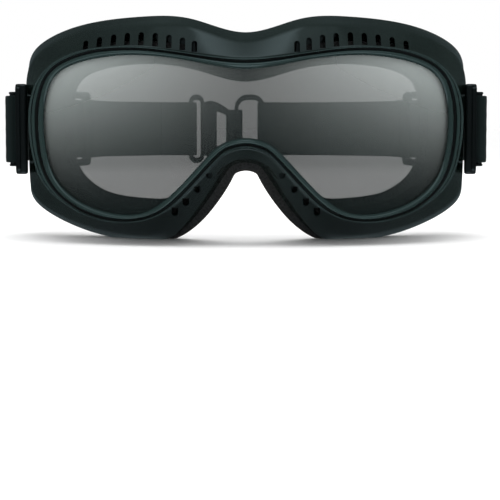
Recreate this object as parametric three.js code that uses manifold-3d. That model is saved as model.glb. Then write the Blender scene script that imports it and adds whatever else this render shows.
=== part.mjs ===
// Over-the-glasses motorcycle goggles, in millimetres.
//
// The drawing frame has its origin at the front of the nose bridge, level with the middle of the strap:
// +X is the wearer's left, +Y runs back from the lens to the back of the head, +Z is up.
// The last lines move the whole assembly so that it stands on z = 0, centred on its box.

import * as THREE from 'three';
import { mergeVertices } from 'three/addons/utils/BufferGeometryUtils.js';
import Module from 'manifold-3d';

const wasm = await Module();
wasm.setup();

// ---------------------------------------------------------------- driving dimensions

const LENS_RADIUS = 114; // the lens is part of an upright cylinder
const LENS_THICKNESS = 1.6;
const LENS_SET_BACK = 1.8; // from the bezel's front to the lens's front
const LENS_OVERLAP = 1.2; // lens hidden behind the bezel's lip, all round
const GAP = 0.3; // clearance between neighbouring pieces
const WALL = 1.6; // bezel and collar walls
const SHELL_WALL = 2;
const FLANGE_SHARE = 0.8; // part of the foam's width that the shell's rear flange carries
const FOAM_GAP = 0.5; // clearance to the rim's flange
const LINING = 0.8;
const REST_LEVEL = -41; // height of the two flats that the goggles stand on

const WEBBING_WIDTH = 25.4;
const WEBBING = 1.3; // thickness of the elastic webbing
const RETURN_WEBBING = 1.1; // thickness where it is doubled under tension
const FOLD_RADIUS = 2.25; // middle of the webbing where it goes round a bar

const BAR_X = 89.2; // bracket bar that the webbing is folded round
const BAR_Y = 60;
const BAR_RADIUS = 1.25;
const BAR_LENGTH = 28;
const BRACKET = {
  front: 50.5,
  rear: 70,
  half: 17, // half its height
  inner: 85.1, // inner face of its arms
  outer: 87,
  root: 82.7, // inner face of its front bar, next to the shell
  corner: 2,
  passageFront: 54.5, // the webbing's passage, open to the rear
  passageHalf: 13.3,
};
const EAR = { radius: 1.5, low: 13.2, high: 14.2, neckInner: 85.6 }; // they hold the bar's ends

const SLIDER_Y = 160; // depth at which both sliders sit
const SLIDER_THICKNESS = 1.4;
const SLIDER_END_LIFT = 1.8; // end bars, outside the webbing
const SLIDER_BOW = 5.1; // how far the centre bar lies below the end bars

const CLASP_Y = 215.1; // plane of the rear clasp's bars
const RING_BAR_X = 8;
const CATCH_BAR_X = -5;
const HOOK_BAR_X = -27;

const ROUND_STEPS = 60; // facets round the goggles

// Half outlines as seen from the front, brow centre to temple to cheek to nose arch.
// Every outline has one point for each of the same sixteen stations.
const LENS_OPENING = [
  // x, z
  [0, 20.7], [18.2, 23.3], [37.6, 25.7], [54.8, 24.5], [66.5, 20.5], [71.6, 13.5], [73.2, 2.9],
  [71.7, -10.4], [66.4, -20.5], [55.8, -27.3], [43.2, -30], [32.9, -27.9], [22.7, -19.6],
  [12.5, -8.7], [6.3, -4.3], [0, -3.1],
];
const BEZEL_EDGE = [
  // x, z, depth of the bezel's side wall
  [0, 24.6, 9], [18.1, 26.2, 10], [37.5, 28.8, 10.5], [57.2, 28.1, 12.5], [70.6, 23.1, 14],
  [77.6, 14.7, 15], [79.8, 2.9, 16], [77.7, -11.7, 17], [71.3, -22.6, 18], [58.7, -30.2, 19],
  [43.8, -33, 20], [30.5, -30.2, 19], [20.2, -22, 15], [10.1, -11.1, 9], [5.4, -7.6, 7.5],
  [0, -6.5, 7],
];
const RIDGE = [
  // x, z, depth behind the nose bridge
  [0, 31, 14], [18.6, 35.6, 16.5], [37.2, 37.5, 24], [59.4, 35.9, 38], [76.6, 29.4, 50],
  [83.6, 19.3, 58], [84, 3, 62], [83.3, -16, 61], [78.8, -27.6, 56], [61.2, -35.8, 46], [44.1, -39, 40],
  [30.8, -37.5, 35], [19.4, -28.1, 28], [9, -15, 19], [4.6, -10.9, 14.5], [0, -9.8, 13],
];
const RIM = [
  // x, z, depth behind the nose bridge
  [0, 34.6, 18], [18.8, 39.4, 20.5], [37.8, 40.9, 30], [61.2, 38.7, 45], [79.9, 31.4, 62],
  [85.2, 20.5, 75], [85.4, 3, 80], [85.2, -16.5, 79], [82.2, -28.8, 73], [63.4, -38.1, 59],
  [44.4, -42.1, 50], [30.2, -41.5, 43], [18.1, -31.8, 35.5], [8.1, -17.6, 25], [4.5, -13.1, 20.5],
  [0, -12.1, 18.5],
];
const FOAM_OPENING = [
  // x, z
  [0, 16.9], [17.4, 21], [35.5, 23.7], [52.1, 22.6], [63, 18.8], [67.3, 12], [68.3, 3], [67.6, -8],
  [64, -17], [54.5, -23.2], [44.1, -25.4], [33.8, -25.9], [24.4, -22.8], [12.9, -10.6], [6.5, -6],
  [0, -4.9],
];
const FOAM = [
  // thickness, how far it stands out past the rim
  [5, -0.8], [8, -0.8], [9.5, -0.8], [9, -0.8], [7, -0.8], [5, -0.8], [4.5, -0.8], [4.5, -0.8],
  [5, -0.8], [6.5, -0.8], [7.5, -0.6], [8, 0.2], [8, 2.4], [7, 3], [6, 2.6], [6, 2.4],
];

const VENT_X = [18.1, 22.4, 27.3, 32.2, 37.3, 42.3, 47.3, 52.5, 57.7]; // nine brow slots a side
const VENT_WIDTH = 2;
const LOWER_VENTS = [11.4, 11.8, 12.2, 12.6]; // stations of the slots beside the nose

// Half plan of the webbing's outer layer, bracket to back of the head, as [x, y].
const STRAP_PLAN = [
  [BAR_X + FOLD_RADIUS, BAR_Y], [90.6, 80], [86, 106], [80, 132], [74, 158], [70.4, 173.5],
  [62, 192], [46.5, 208], [27.5, CLASP_Y + FOLD_RADIUS], [10, CLASP_Y + FOLD_RADIUS],
  [-4, CLASP_Y + FOLD_RADIUS],
];

// ---------------------------------------------------------------- materials

const FRAME_BLACK = { color: 0x10171a, roughness: 0.18, metalness: 0 };
const BEZEL_BLACK = { color: 0x172124, roughness: 0.12, metalness: 0 };
const SMOKE = { color: 0x5d6462, roughness: 0.05, metalness: 0 };
const GASKET_RUBBER = { color: 0x1b1b1c, roughness: 0.8, metalness: 0 };
const FOAM_GREY = { color: 0x26282a, roughness: 1, metalness: 0 };
const FLEECE_GREY = { color: 0x2d3032, roughness: 1, metalness: 0 };
const WEBBING_BLACK = { color: 0x0b1114, roughness: 0.9, metalness: 0 };
const BUCKLE_BLACK = { color: 0x17181b, roughness: 0.4, metalness: 0.6 };

// ---------------------------------------------------------------- solids from vertices

function signedVolume(positions, index) {
  const a = new THREE.Vector3();
  const b = new THREE.Vector3();
  const c = new THREE.Vector3();
  let volume = 0;
  for (let i = 0; i < index.length; i += 3) {
    a.fromArray(positions, 3 * index[i]);
    b.fromArray(positions, 3 * index[i + 1]);
    c.fromArray(positions, 3 * index[i + 2]);
    volume += a.dot(b.cross(c));
  }
  return volume / 6;
}

// A closed geometry whose faces all point out, whichever way round it was wound.
function closedGeometry(positions, index) {
  if (signedVolume(positions, index) < 0) {
    for (let i = 0; i < index.length; i += 3) {
      [index[i], index[i + 1]] = [index[i + 1], index[i]];
    }
  }
  const geometry = new THREE.BufferGeometry();
  geometry.setAttribute('position', new THREE.Float32BufferAttribute(positions, 3));
  geometry.setIndex(index);
  return geometry;
}

function mirrored(geometry) {
  const positions = Array.from(geometry.attributes.position.array);
  for (let i = 0; i < positions.length; i += 3) {
    positions[i] = -positions[i];
  }
  return closedGeometry(positions, Array.from(geometry.index.array));
}

function welded(geometry) {
  const bare = geometry.clone();
  bare.deleteAttribute('normal');
  bare.deleteAttribute('uv');
  return mergeVertices(bare, 1e-4);
}

function toManifold(geometry) {
  const bare = welded(geometry);
  const vertProperties = new Float32Array(bare.attributes.position.array);
  const triVerts = new Uint32Array(bare.index.array);
  const mesh = new wasm.Mesh({ numProp: 3, vertProperties, triVerts });
  mesh.merge();
  return new wasm.Manifold(mesh);
}

function fromManifold(manifold) {
  const mesh = manifold.getMesh();
  return closedGeometry(Array.from(mesh.vertProperties), Array.from(mesh.triVerts));
}

// Sections that all have the same number of points, skinned one to the next. A ring joins its last
// section to its first; an open skin is closed with a flat cap at each end.
function skin(sections, isRing) {
  const size = sections[0].length;
  const positions = sections.flat().flatMap((point) => [point.x, point.y, point.z]);
  const index = [];
  const spans = isRing ? sections.length : sections.length - 1;
  for (let i = 0; i < spans; i += 1) {
    const next = (i + 1) % sections.length;
    for (let j = 0; j < size; j += 1) {
      const k = (j + 1) % size;
      const [a, b, c, d] = [i * size + j, i * size + k, next * size + k, next * size + j];
      index.push(a, b, c, a, c, d);
    }
  }
  if (!isRing) {
    const last = (sections.length - 1) * size;
    for (let j = 1; j < size - 1; j += 1) {
      index.push(0, j + 1, j, last, last + j, last + j + 1);
    }
  }
  return closedGeometry(positions, index);
}

// A flat ribbon that follows a line in plan, extruded to a height and centred on z = 0.
function ribbon(line, thickness, height) {
  const left = [];
  const right = [];
  line.forEach((point, i) => {
    const before = line[Math.max(i - 1, 0)];
    const after = line[Math.min(i + 1, line.length - 1)];
    const along = after.clone().sub(before).normalize();
    const across = new THREE.Vector2(-along.y, along.x).multiplyScalar(thickness / 2);
    left.push(point.clone().add(across));
    right.unshift(point.clone().sub(across));
  });
  const shape = new THREE.Shape([...left, ...right]);
  const geometry = new THREE.ExtrudeGeometry(shape, { depth: height, bevelEnabled: false });
  return geometry.translate(0, 0, -height / 2);
}

// A shape drawn in the x-z plane, given a thickness from y = near to y = far.
function frontPlate(shape, near, far) {
  const geometry = new THREE.ExtrudeGeometry(shape, {
    depth: far - near,
    bevelEnabled: false,
    curveSegments: 6,
  });
  return geometry.rotateX(Math.PI / 2).translate(0, far, 0);
}

function box(low, high) {
  const size = high.map((value, i) => value - low[i]);
  const middle = high.map((value, i) => (value + low[i]) / 2);
  return new THREE.BoxGeometry(...size).translate(...middle);
}

// ---------------------------------------------------------------- outlines round the goggles

// A smooth closed loop through a half outline and its mirror image. Loops of all outlines keep step:
// the same fraction of the way round is the same station on each.
function loopThrough(half) {
  const right = half.map(([x, z, extra = 0]) => new THREE.Vector3(x, z, extra));
  const left = right.slice(1, -1).reverse().map((point) => new THREE.Vector3(-point.x, point.y, point.z));
  return new THREE.CatmullRomCurve3([...right, ...left], true, 'catmullrom', 0.5);
}

const STATIONS = 2 * (LENS_OPENING.length - 1);
const openingLoop = loopThrough(LENS_OPENING);
const bezelLoop = loopThrough(BEZEL_EDGE);
const ridgeLoop = loopThrough(RIDGE);
const rimLoop = loopThrough(RIM);
const foamOpeningLoop = loopThrough(FOAM_OPENING);
const foamLoop = loopThrough(FOAM);

const HALVINGS = 40;

// Where between 0 and an end a condition starts to hold, by halving.
function reachedAt(end, holds) {
  let low = 0;
  let high = end;
  for (let i = 0; i < HALVINGS; i += 1) {
    const middle = (low + high) / 2;
    if (holds(middle)) {
      high = middle;
    } else {
      low = middle;
    }
  }
  return low;
}

// How far back the bezel's front lies at a given distance from the middle.
function sag(x) {
  return LENS_RADIUS - Math.sqrt(LENS_RADIUS ** 2 - x ** 2);
}

// The point that lies a distance in from an edge towards the middle of the lens, as x and z.
function inward(edge, opening, distance) {
  const run = new THREE.Vector2(opening.x - edge.x, opening.y - edge.y).normalize();
  return { x: edge.x + run.x * distance, z: edge.y + run.y * distance };
}

// The point at a share of the way from the rim to the foam's opening, as x and z.
function across(rim, foamOpening, share) {
  return inward(rim, foamOpening, share * Math.hypot(rim.x - foamOpening.x, rim.y - foamOpening.y));
}

function at(point, depth) {
  return new THREE.Vector3(point.x, depth, point.z);
}

function station(fraction) {
  const opening = openingLoop.getPoint(fraction);
  const bezel = bezelLoop.getPoint(fraction);
  return {
    opening,
    bezel,
    ridge: ridgeLoop.getPoint(fraction),
    rim: rimLoop.getPoint(fraction),
    foamOpening: foamOpeningLoop.getPoint(fraction),
    lip: Math.hypot(bezel.x - opening.x, bezel.y - opening.y),
    bezelBack: sag(bezel.x) + bezel.z,
  };
}

function ringOf(sectionAt, steps = ROUND_STEPS) {
  const sections = [];
  for (let i = 0; i < steps; i += 1) {
    sections.push(sectionAt(station(i / steps)));
  }
  return skin(sections, true);
}

// ---------------------------------------------------------------- bezel, lens and gasket

const CREST_WIDTH = 3.3; // rolled crest next to the lens, up to the groove
const SEAT_BACK = 1.4; // back of the bezel's lip, which the lens sits behind
const GASKET_FRONT = 4.4;
const GASKET_BACK = 5.8;
const GASKET_WIDTH = 1.5;
const COLLAR_FRONT = GASKET_BACK + GAP;

const CREST = [[0.3, -0.7], [0.72, -0.6]]; // share of its width, lift from the bezel's front
const GROOVE_DEPTH = 0.5;
const BAND = { lift: 0.1, edgeLift: 1.2 }; // outer band, next to the groove and at the bezel's edge

// Lip with a rolled crest, a groove at a fixed distance from the lens, a plain outer band and the side wall.
function bezelSection({ opening, bezel, lip, bezelBack }) {
  const lipPoint = (share, lift) => {
    const point = inward(bezel, opening, lip * (1 - share));
    return at(point, sag(point.x) + lift);
  };
  const groove = Math.min(0.86, CREST_WIDTH / lip);
  const inner = inward(bezel, opening, WALL);
  return [
    lipPoint(0, SEAT_BACK),
    lipPoint(0, GROOVE_DEPTH),
    ...CREST.map(([share, lift]) => lipPoint(share * groove, lift)),
    lipPoint(groove - 0.08, GROOVE_DEPTH),
    lipPoint(groove + 0.04, GROOVE_DEPTH),
    lipPoint(Math.min(groove + 0.1, 0.96), BAND.lift),
    lipPoint(1, BAND.edgeLift),
    at({ x: bezel.x, z: bezel.y }, bezelBack),
    at(inner, bezelBack),
    at(inner, sag(inner.x) + SEAT_BACK + GAP),
  ];
}

const LENS_FACETS = 44;
const LENS_BLANK = { front: -10, back: 60, half: 85, height: 120 }; // block that the lens is cut from

function lensGeometry() {
  const outline = [];
  for (let i = 0; i < ROUND_STEPS; i += 1) {
    const { opening, bezel } = station(i / ROUND_STEPS);
    const edge = inward(opening, bezel, LENS_OVERLAP);
    outline.push(new THREE.Vector2(edge.x, edge.z));
  }
  const blank = frontPlate(new THREE.Shape(outline), LENS_BLANK.front, LENS_BLANK.back);
  const arc = [];
  const reach = Math.asin(LENS_BLANK.half / LENS_RADIUS);
  const middle = LENS_RADIUS - LENS_THICKNESS / 2;
  for (let i = 0; i <= LENS_FACETS; i += 1) {
    const angle = reach * ((2 * i) / LENS_FACETS - 1);
    const centre = LENS_SET_BACK + LENS_RADIUS;
    arc.push(new THREE.Vector2(middle * Math.sin(angle), centre - middle * Math.cos(angle)));
  }
  const sheet = ribbon(arc, LENS_THICKNESS, LENS_BLANK.height);
  return fromManifold(toManifold(blank).intersect(toManifold(sheet)));
}

function gasketSection({ opening, bezel }) {
  const outer = inward(bezel, opening, WALL + GAP);
  const inner = inward(bezel, opening, WALL + GAP + GASKET_WIDTH);
  return [
    at(outer, sag(outer.x) + GASKET_FRONT),
    at(inner, sag(inner.x) + GASKET_FRONT),
    at(inner, sag(inner.x) + GASKET_BACK),
    at(outer, sag(outer.x) + GASKET_BACK),
  ];
}

// ---------------------------------------------------------------- frame shell and its vents

const STEP_OUT = 0.6; // shoulder's start, outside the bezel's edge
const STEP_BACK = GAP + 0.2; // and behind it
const SHOULDER_WALL = 2.4;
const RIDGE_WALL = 1; // the ridge's inside lies this far behind its outside
const FLANGE = 1.6; // thickness of the rim's flange
const FLANGE_ROOT = 2.2;

// Collar inside the bezel, shoulder out to the ridge, band back to the rim, then the rim's flange.
function shellSection({ opening, bezel, ridge, rim, foamOpening, bezelBack }) {
  const collarOut = inward(bezel, opening, WALL + GAP);
  const collarIn = inward(bezel, opening, WALL + GAP + WALL);
  const step = inward(bezel, opening, -STEP_OUT);
  const ridgeIn = inward(ridge, opening, SHELL_WALL);
  const rimIn = inward(rim, opening, SHELL_WALL);
  const flangeIn = across(rim, foamOpening, FLANGE_SHARE);
  return [
    at(collarOut, sag(collarOut.x) + COLLAR_FRONT),
    at(collarOut, bezelBack + STEP_BACK - 0.1),
    at(step, bezelBack + STEP_BACK),
    at({ x: ridge.x, z: ridge.y }, ridge.z),
    at({ x: rim.x, z: rim.y }, rim.z),
    at(flangeIn, rim.z),
    at(flangeIn, rim.z - FLANGE),
    at(rimIn, rim.z - FLANGE_ROOT),
    at(ridgeIn, ridge.z + RIDGE_WALL),
    at(collarIn, bezelBack + SHOULDER_WALL),
    at(collarIn, sag(collarIn.x) + COLLAR_FRONT),
  ];
}

const BROW_END = 5; // station at the temple end of the brow

// Fraction of the way round at which the bezel's edge along the brow reaches a given x.
function browFraction(x) {
  return reachedAt(BROW_END / STATIONS, (middle) => bezelLoop.getPoint(middle).x >= x);
}

const SLOT_FOOT = 0.9; // slots start this far outside the bezel's edge
const SLOT_FRONT = -3; // and are cut from in front of the shoulder to behind it
const SLOT_BEHIND = 4;

// Round-ended cutter that runs from the bezel's edge part of the way to the ridge.
function slotCutter(fraction, share, width, upright) {
  const { opening, bezel, ridge, bezelBack } = station(fraction);
  const foot = inward(bezel, opening, -SLOT_FOOT);
  const run = new THREE.Vector2(ridge.x - foot.x, ridge.y - foot.z);
  const length = run.length() * share;
  const turn = upright ? 0 : Math.atan2(run.x, run.y);
  const shape = new THREE.Shape();
  shape.moveTo(-width / 2, 0);
  shape.lineTo(width / 2, 0);
  shape.lineTo(width / 2, length - width / 2);
  shape.absarc(0, length - width / 2, width / 2, 0, Math.PI, false);
  shape.closePath();
  const cutter = frontPlate(shape, SLOT_FRONT, ridge.z - bezelBack + SLOT_BEHIND);
  return cutter.rotateY(turn).translate(foot.x, bezelBack, foot.z);
}

// Shares of the shoulder's height that the slots take: tallest in the middle of each brow.
const BROW_SLOT = { middle: 4, tallest: 0.62, fall: 0.022, power: 1.4 };
const NOSE_SLOT = { share: 0.5, width: 2.2 };

function ventCutters() {
  const cutters = [];
  VENT_X.forEach((x, i) => {
    const arch = BROW_SLOT.tallest - BROW_SLOT.fall * Math.abs(i - BROW_SLOT.middle) ** BROW_SLOT.power;
    cutters.push(slotCutter(browFraction(x), arch, VENT_WIDTH, true));
  });
  LOWER_VENTS.forEach((place) => {
    cutters.push(slotCutter(place / STATIONS, NOSE_SLOT.share, NOSE_SLOT.width, false));
  });
  return cutters.flatMap((cutter) => [cutter, mirrored(welded(cutter))]);
}

// Everything under a level, to trim pieces that stand on the resting plane.
function below(level) {
  return toManifold(box([-BAR_X, 0, level - LENS_BLANK.height], [BAR_X, CLASP_Y, level]));
}

function shellGeometry() {
  let shell = toManifold(ringOf(shellSection));
  ventCutters().forEach((cutter) => {
    shell = shell.subtract(toManifold(cutter));
  });
  return fromManifold(shell.subtract(below(REST_LEVEL)));
}

const FILTER = { thickness: 1.6, foot: 0.12, setBack: 0.7, steps: 12 };

// Strip of open-cell foam just behind the slots, from one station to another.
function ventFilter(from, to, share) {
  const sections = [];
  const clear = new THREE.Vector3(0, FILTER.setBack, 0);
  const back = new THREE.Vector3(0, FILTER.thickness, 0);
  for (let i = 0; i <= FILTER.steps; i += 1) {
    const place = from + ((to - from) * i) / FILTER.steps;
    const { opening, bezel, ridge, bezelBack } = station(place / STATIONS);
    const low = at(inward(bezel, opening, 2 * WALL + GAP), bezelBack + SHOULDER_WALL);
    const high = at(inward(ridge, opening, SHELL_WALL), ridge.z + RIDGE_WALL);
    const foot = low.clone().lerp(high, FILTER.foot).add(clear);
    const head = low.clone().lerp(high, share).add(clear);
    sections.push([foot, head, head.clone().add(back), foot.clone().add(back)]);
  }
  return skin(sections, false);
}

// ---------------------------------------------------------------- foam and lining

const FOAM_CROWN = [
  // share of the foam's width, share of its thickness
  [0.16, 0.94], [0.45, 1], [0.8, 0.84],
];
const FOAM_EDGE_HEIGHT = 0.7; // height of the foam's outer wall, share of its thickness
const FOAM_INNER_HEIGHT = 0.45;

function foamSection({ opening, rim, foamOpening, foam }) {
  const [thickness, proud] = [foam.x, foam.y];
  const edge = inward(rim, opening, -proud);
  const point = (share, height) => at(across(rim, foamOpening, share), rim.z + FOAM_GAP + thickness * height);
  return [
    at(edge, rim.z + FOAM_GAP),
    at(edge, rim.z + FOAM_GAP + thickness * FOAM_EDGE_HEIGHT),
    ...FOAM_CROWN.map(([share, height]) => point(share, height)),
    point(1, FOAM_INNER_HEIGHT),
    point(1, 0),
    point(FLANGE_SHARE, 0),
  ];
}

function liningSection({ rim, foamOpening, foam }) {
  const lift = (share, height, extra) =>
    at(across(rim, foamOpening, share), rim.z + FOAM_GAP + GAP + foam.x * height + extra);
  const under = FOAM_CROWN.map(([share, height]) => lift(share, height, 0));
  const over = FOAM_CROWN.map(([share, height]) => lift(share, height, LINING)).reverse();
  return [...under, ...over];
}

// Foam thickness and stand-out aren't mirrored like a position, so the loop is read on one half only.
function foamStation(fraction) {
  const mirroredFraction = Math.min(fraction, 1 - fraction);
  const values = foamLoop.getPoint(mirroredFraction);
  return { ...station(fraction), foam: values };
}

// A soft ring, trimmed just above the resting plane and just behind a harder piece.
function softRing(sectionAt, harder) {
  const sections = [];
  for (let i = 0; i < ROUND_STEPS; i += 1) {
    sections.push(sectionAt(foamStation(i / ROUND_STEPS)));
  }
  const trimmed = toManifold(skin(sections, true)).subtract(below(REST_LEVEL + GAP));
  const behind = toManifold(harder.clone().translate(0, FOAM_GAP, 0));
  const pieces = trimmed.subtract(behind).decompose();
  pieces.sort((a, b) => b.volume() - a.volume());
  return fromManifold(pieces[0]);
}

// ---------------------------------------------------------------- strap brackets

function roundedRect(shape, [x0, y0], [x1, y1], radius) {
  shape.moveTo(x0 + radius, y0);
  shape.lineTo(x1 - radius, y0);
  shape.absarc(x1 - radius, y0 + radius, radius, -Math.PI / 2, 0, false);
  shape.lineTo(x1, y1 - radius);
  shape.absarc(x1 - radius, y1 - radius, radius, 0, Math.PI / 2, false);
  shape.lineTo(x0 + radius, y1);
  shape.absarc(x0 + radius, y1 - radius, radius, Math.PI / 2, Math.PI, false);
  shape.lineTo(x0, y0 + radius);
  shape.absarc(x0 + radius, y0 + radius, radius, Math.PI, 1.5 * Math.PI, false);
  return shape;
}

// Flat loop against the temple with a thick front bar, open to the rear, and two ears that hold the
// webbing's bar.
function bracketGeometry() {
  const { front, rear, half, inner, outer, root, passageFront, passageHalf } = BRACKET;
  const outline = roundedRect(new THREE.Shape(), [front, -half], [rear, half], BRACKET.corner);
  const loop = new THREE.ExtrudeGeometry(outline, {
    depth: outer - inner,
    bevelEnabled: false,
    curveSegments: 4,
  });
  loop.rotateX(Math.PI / 2).rotateZ(Math.PI / 2).translate(inner, 0, 0);
  const passage = box([inner - GAP, passageFront, -passageHalf], [BAR_X, rear + GAP, passageHalf]);
  const ear = new THREE.CylinderGeometry(EAR.radius, EAR.radius, EAR.high - EAR.low, 20);
  ear.rotateX(Math.PI / 2).translate(BAR_X, BAR_Y, (EAR.low + EAR.high) / 2);
  const neck = box([EAR.neckInner, BAR_Y - EAR.radius, EAR.low], [BAR_X, BAR_Y + EAR.radius, EAR.high]);
  const bar = new THREE.CylinderGeometry(BAR_RADIUS, BAR_RADIUS, BAR_LENGTH, 16);
  bar.rotateX(Math.PI / 2).translate(BAR_X, BAR_Y, 0);
  const frontBar = box([root, front + GAP, -half], [outer - GAP, passageFront - GAP, half]);
  const upper = toManifold(ear).add(toManifold(neck));
  const ears = upper.add(upper.mirror([0, 0, 1]));
  const bracket = toManifold(loop).subtract(toManifold(passage)).add(toManifold(frontBar));
  return fromManifold(bracket.add(ears).add(toManifold(bar)));
}

// ---------------------------------------------------------------- webbing

const strapCurve = new THREE.CatmullRomCurve3(
  STRAP_PLAN.map(([x, y]) => new THREE.Vector3(x, y, 0)),
  false,
  'centripetal',
);
strapCurve.arcLengthDivisions = 600;

// Fraction along the strap at which a coordinate is reached.
function strapFraction(reached) {
  return reachedAt(1, (middle) => reached(strapCurve.getPointAt(middle)));
}

// A point on the strap, moved out (+) or in (-) from the outer layer's middle.
function strapPoint(fraction, lift) {
  const point = strapCurve.getPointAt(fraction);
  const along = strapCurve.getTangentAt(fraction);
  return new THREE.Vector2(point.x + along.y * lift, point.y - along.x * lift);
}

function strapLine(from, to, steps, liftAt) {
  const line = [];
  for (let i = 0; i <= steps; i += 1) {
    const share = i / steps;
    line.push(strapPoint(from + (to - from) * share, liftAt(share)));
  }
  return line;
}

// Half a turn round a bar, from one angle to another in degrees.
function halfTurn(centre, radius, from, to) {
  const line = [];
  const steps = 10;
  for (let i = 0; i <= steps; i += 1) {
    const angle = THREE.MathUtils.degToRad(from + ((to - from) * i) / steps);
    line.push(new THREE.Vector2(centre.x + radius * Math.cos(angle), centre.y + radius * Math.sin(angle)));
  }
  return line;
}

const FRONT_FOLD = 22; // sewn overlap at the bracket, along the webbing
const REAR_FOLD = 16; // and at the clasp
const SLIDER_REACH = 14; // webbing that belongs to the side runs this far past the slider's middle
const TAIL = 9; // end of the webbing beyond the slider's centre bar

const strapLength = strapCurve.getLength();
const sliderAt = strapFraction((point) => point.y > SLIDER_Y);
const foldEnd = FRONT_FOLD / strapLength;
const runStart = foldEnd + GAP / strapLength;
const runEnd = sliderAt + SLIDER_REACH / strapLength;
const rearStart = runEnd + GAP / strapLength;
const doubled = RETURN_WEBBING / 2 + WEBBING / 2 + GAP;

// Sewn fold round the bracket's bar: outer layer, half a turn, inner layer.
function strapEnd() {
  const start = 1 / strapLength;
  const outer = strapLine(foldEnd, start, 6, () => 0);
  const turn = halfTurn(new THREE.Vector2(BAR_X, BAR_Y), FOLD_RADIUS, 0, -180);
  const inner = strapLine(start, foldEnd, 6, (share) => {
    const eased = THREE.MathUtils.smoothstep(share, 0, 1);
    return THREE.MathUtils.lerp(-2 * FOLD_RADIUS, -WEBBING - GAP, eased);
  });
  return ribbon([...outer, ...turn, ...inner], WEBBING, WEBBING_WIDTH);
}

function strapSide() {
  return ribbon(strapLine(runStart, runEnd, 22, () => 0), WEBBING, WEBBING_WIDTH);
}

// Rear run to a clasp bar, half a turn round it, and the start of the inner layer.
function strapRear(barX) {
  const barAt = strapFraction((point) => point.x < barX);
  const outer = strapLine(rearStart, barAt, 22, () => 0);
  const turn = halfTurn(new THREE.Vector2(barX, CLASP_Y), FOLD_RADIUS, 90, 270);
  const inner = strapLine(barAt, barAt - REAR_FOLD / strapLength, 6, (share) => {
    const eased = THREE.MathUtils.smoothstep(share, 0, 1);
    return THREE.MathUtils.lerp(-2 * FOLD_RADIUS, -WEBBING - GAP, eased);
  });
  return ribbon([...outer, ...turn.slice(1, -1), ...inner], WEBBING, WEBBING_WIDTH);
}

const RETURN_FOLD = 1.85; // middle of the doubled webbing round a slider's centre bar
const centreBarLift = SLIDER_END_LIFT - SLIDER_BOW;

// Inner layer from the clasp's fold forward to the slider, round its centre bar and back a little.
function strapReturn(barX) {
  const barAt = strapFraction((point) => point.x < barX);
  const layer = strapLine(barAt - (REAR_FOLD + GAP) / strapLength, sliderAt, 26, () => -doubled);
  const centre = strapPoint(sliderAt, centreBarLift);
  const along = strapCurve.getTangentAt(sliderAt);
  const outward = THREE.MathUtils.radToDeg(Math.atan2(-along.x, along.y));
  const turn = halfTurn(centre, RETURN_FOLD, outward, outward - 180);
  const tail = strapLine(sliderAt, sliderAt + TAIL / strapLength, 3, () => centreBarLift - RETURN_FOLD);
  return ribbon([...layer.slice(0, -1), ...turn, ...tail.slice(1)], RETURN_WEBBING, WEBBING_WIDTH);
}

// ---------------------------------------------------------------- sliders

const LOBE = { x: 4.4, z: 11.4, radius: 5 };
const SLOT = { near: 0.8, far: 7.6, half: 13.4, corner: 1.2 };
const BOW_REACH = 7.4; // from the centre bar to where the bow levels out

function slotPath(side) {
  const [low, high] = [side * SLOT.near, side * SLOT.far].sort((a, b) => a - b);
  return roundedRect(new THREE.Path(), [low, -SLOT.half], [high, SLOT.half], SLOT.corner);
}

// Figure-of-eight outline: two round lobes above and below, with a waist between them.
function sliderShape() {
  const waist = Math.acos(LOBE.x / LOBE.radius);
  const shape = new THREE.Shape();
  shape.absarc(LOBE.x, LOBE.z, LOBE.radius, 0, Math.PI - waist, false);
  shape.absarc(-LOBE.x, LOBE.z, LOBE.radius, waist, Math.PI, false);
  shape.absarc(-LOBE.x, -LOBE.z, LOBE.radius, Math.PI, 2 * Math.PI - waist, false);
  shape.absarc(LOBE.x, -LOBE.z, LOBE.radius, Math.PI + waist, 2 * Math.PI, false);
  shape.closePath();
  shape.holes.push(slotPath(-1), slotPath(1));
  return shape;
}

// Height of the bowed slider above the webbing's middle, at a distance along the webbing.
function sliderLift(along) {
  const share = Math.min(Math.abs(along) / BOW_REACH, 1);
  return SLIDER_END_LIFT - SLIDER_BOW * Math.cos((share * Math.PI) / 2) ** 2;
}

function sliderGeometry() {
  const plate = new THREE.ExtrudeGeometry(sliderShape(), {
    depth: SLIDER_THICKNESS,
    bevelEnabled: false,
    curveSegments: 8,
  });
  const geometry = welded(plate.translate(0, 0, -SLIDER_THICKNESS / 2));
  const middle = strapCurve.getPointAt(sliderAt);
  const along = strapCurve.getTangentAt(sliderAt);
  const place = geometry.attributes.position;
  const positions = [];
  for (let i = 0; i < place.count; i += 1) {
    const run = place.getX(i);
    const lift = place.getZ(i) + sliderLift(run);
    const x = middle.x + along.x * run + along.y * lift;
    const y = middle.y + along.y * run - along.x * lift;
    positions.push(x, y, place.getY(i));
  }
  return closedGeometry(positions, Array.from(geometry.index.array));
}

// ---------------------------------------------------------------- rear clasp

const CLASP_HEIGHT = 16.5;
const CLASP_HALF = 0.9; // half the clasp's thickness
const CLASP_WINDOW = 13.8; // half the height of its windows
const RING_CORNER = 6.5;
const HOOK_CORNER = 3.5;
const HOOK_LOOP_END = -20.6;
const HOOK_LOOP_WINDOW = -22.3;

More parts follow.
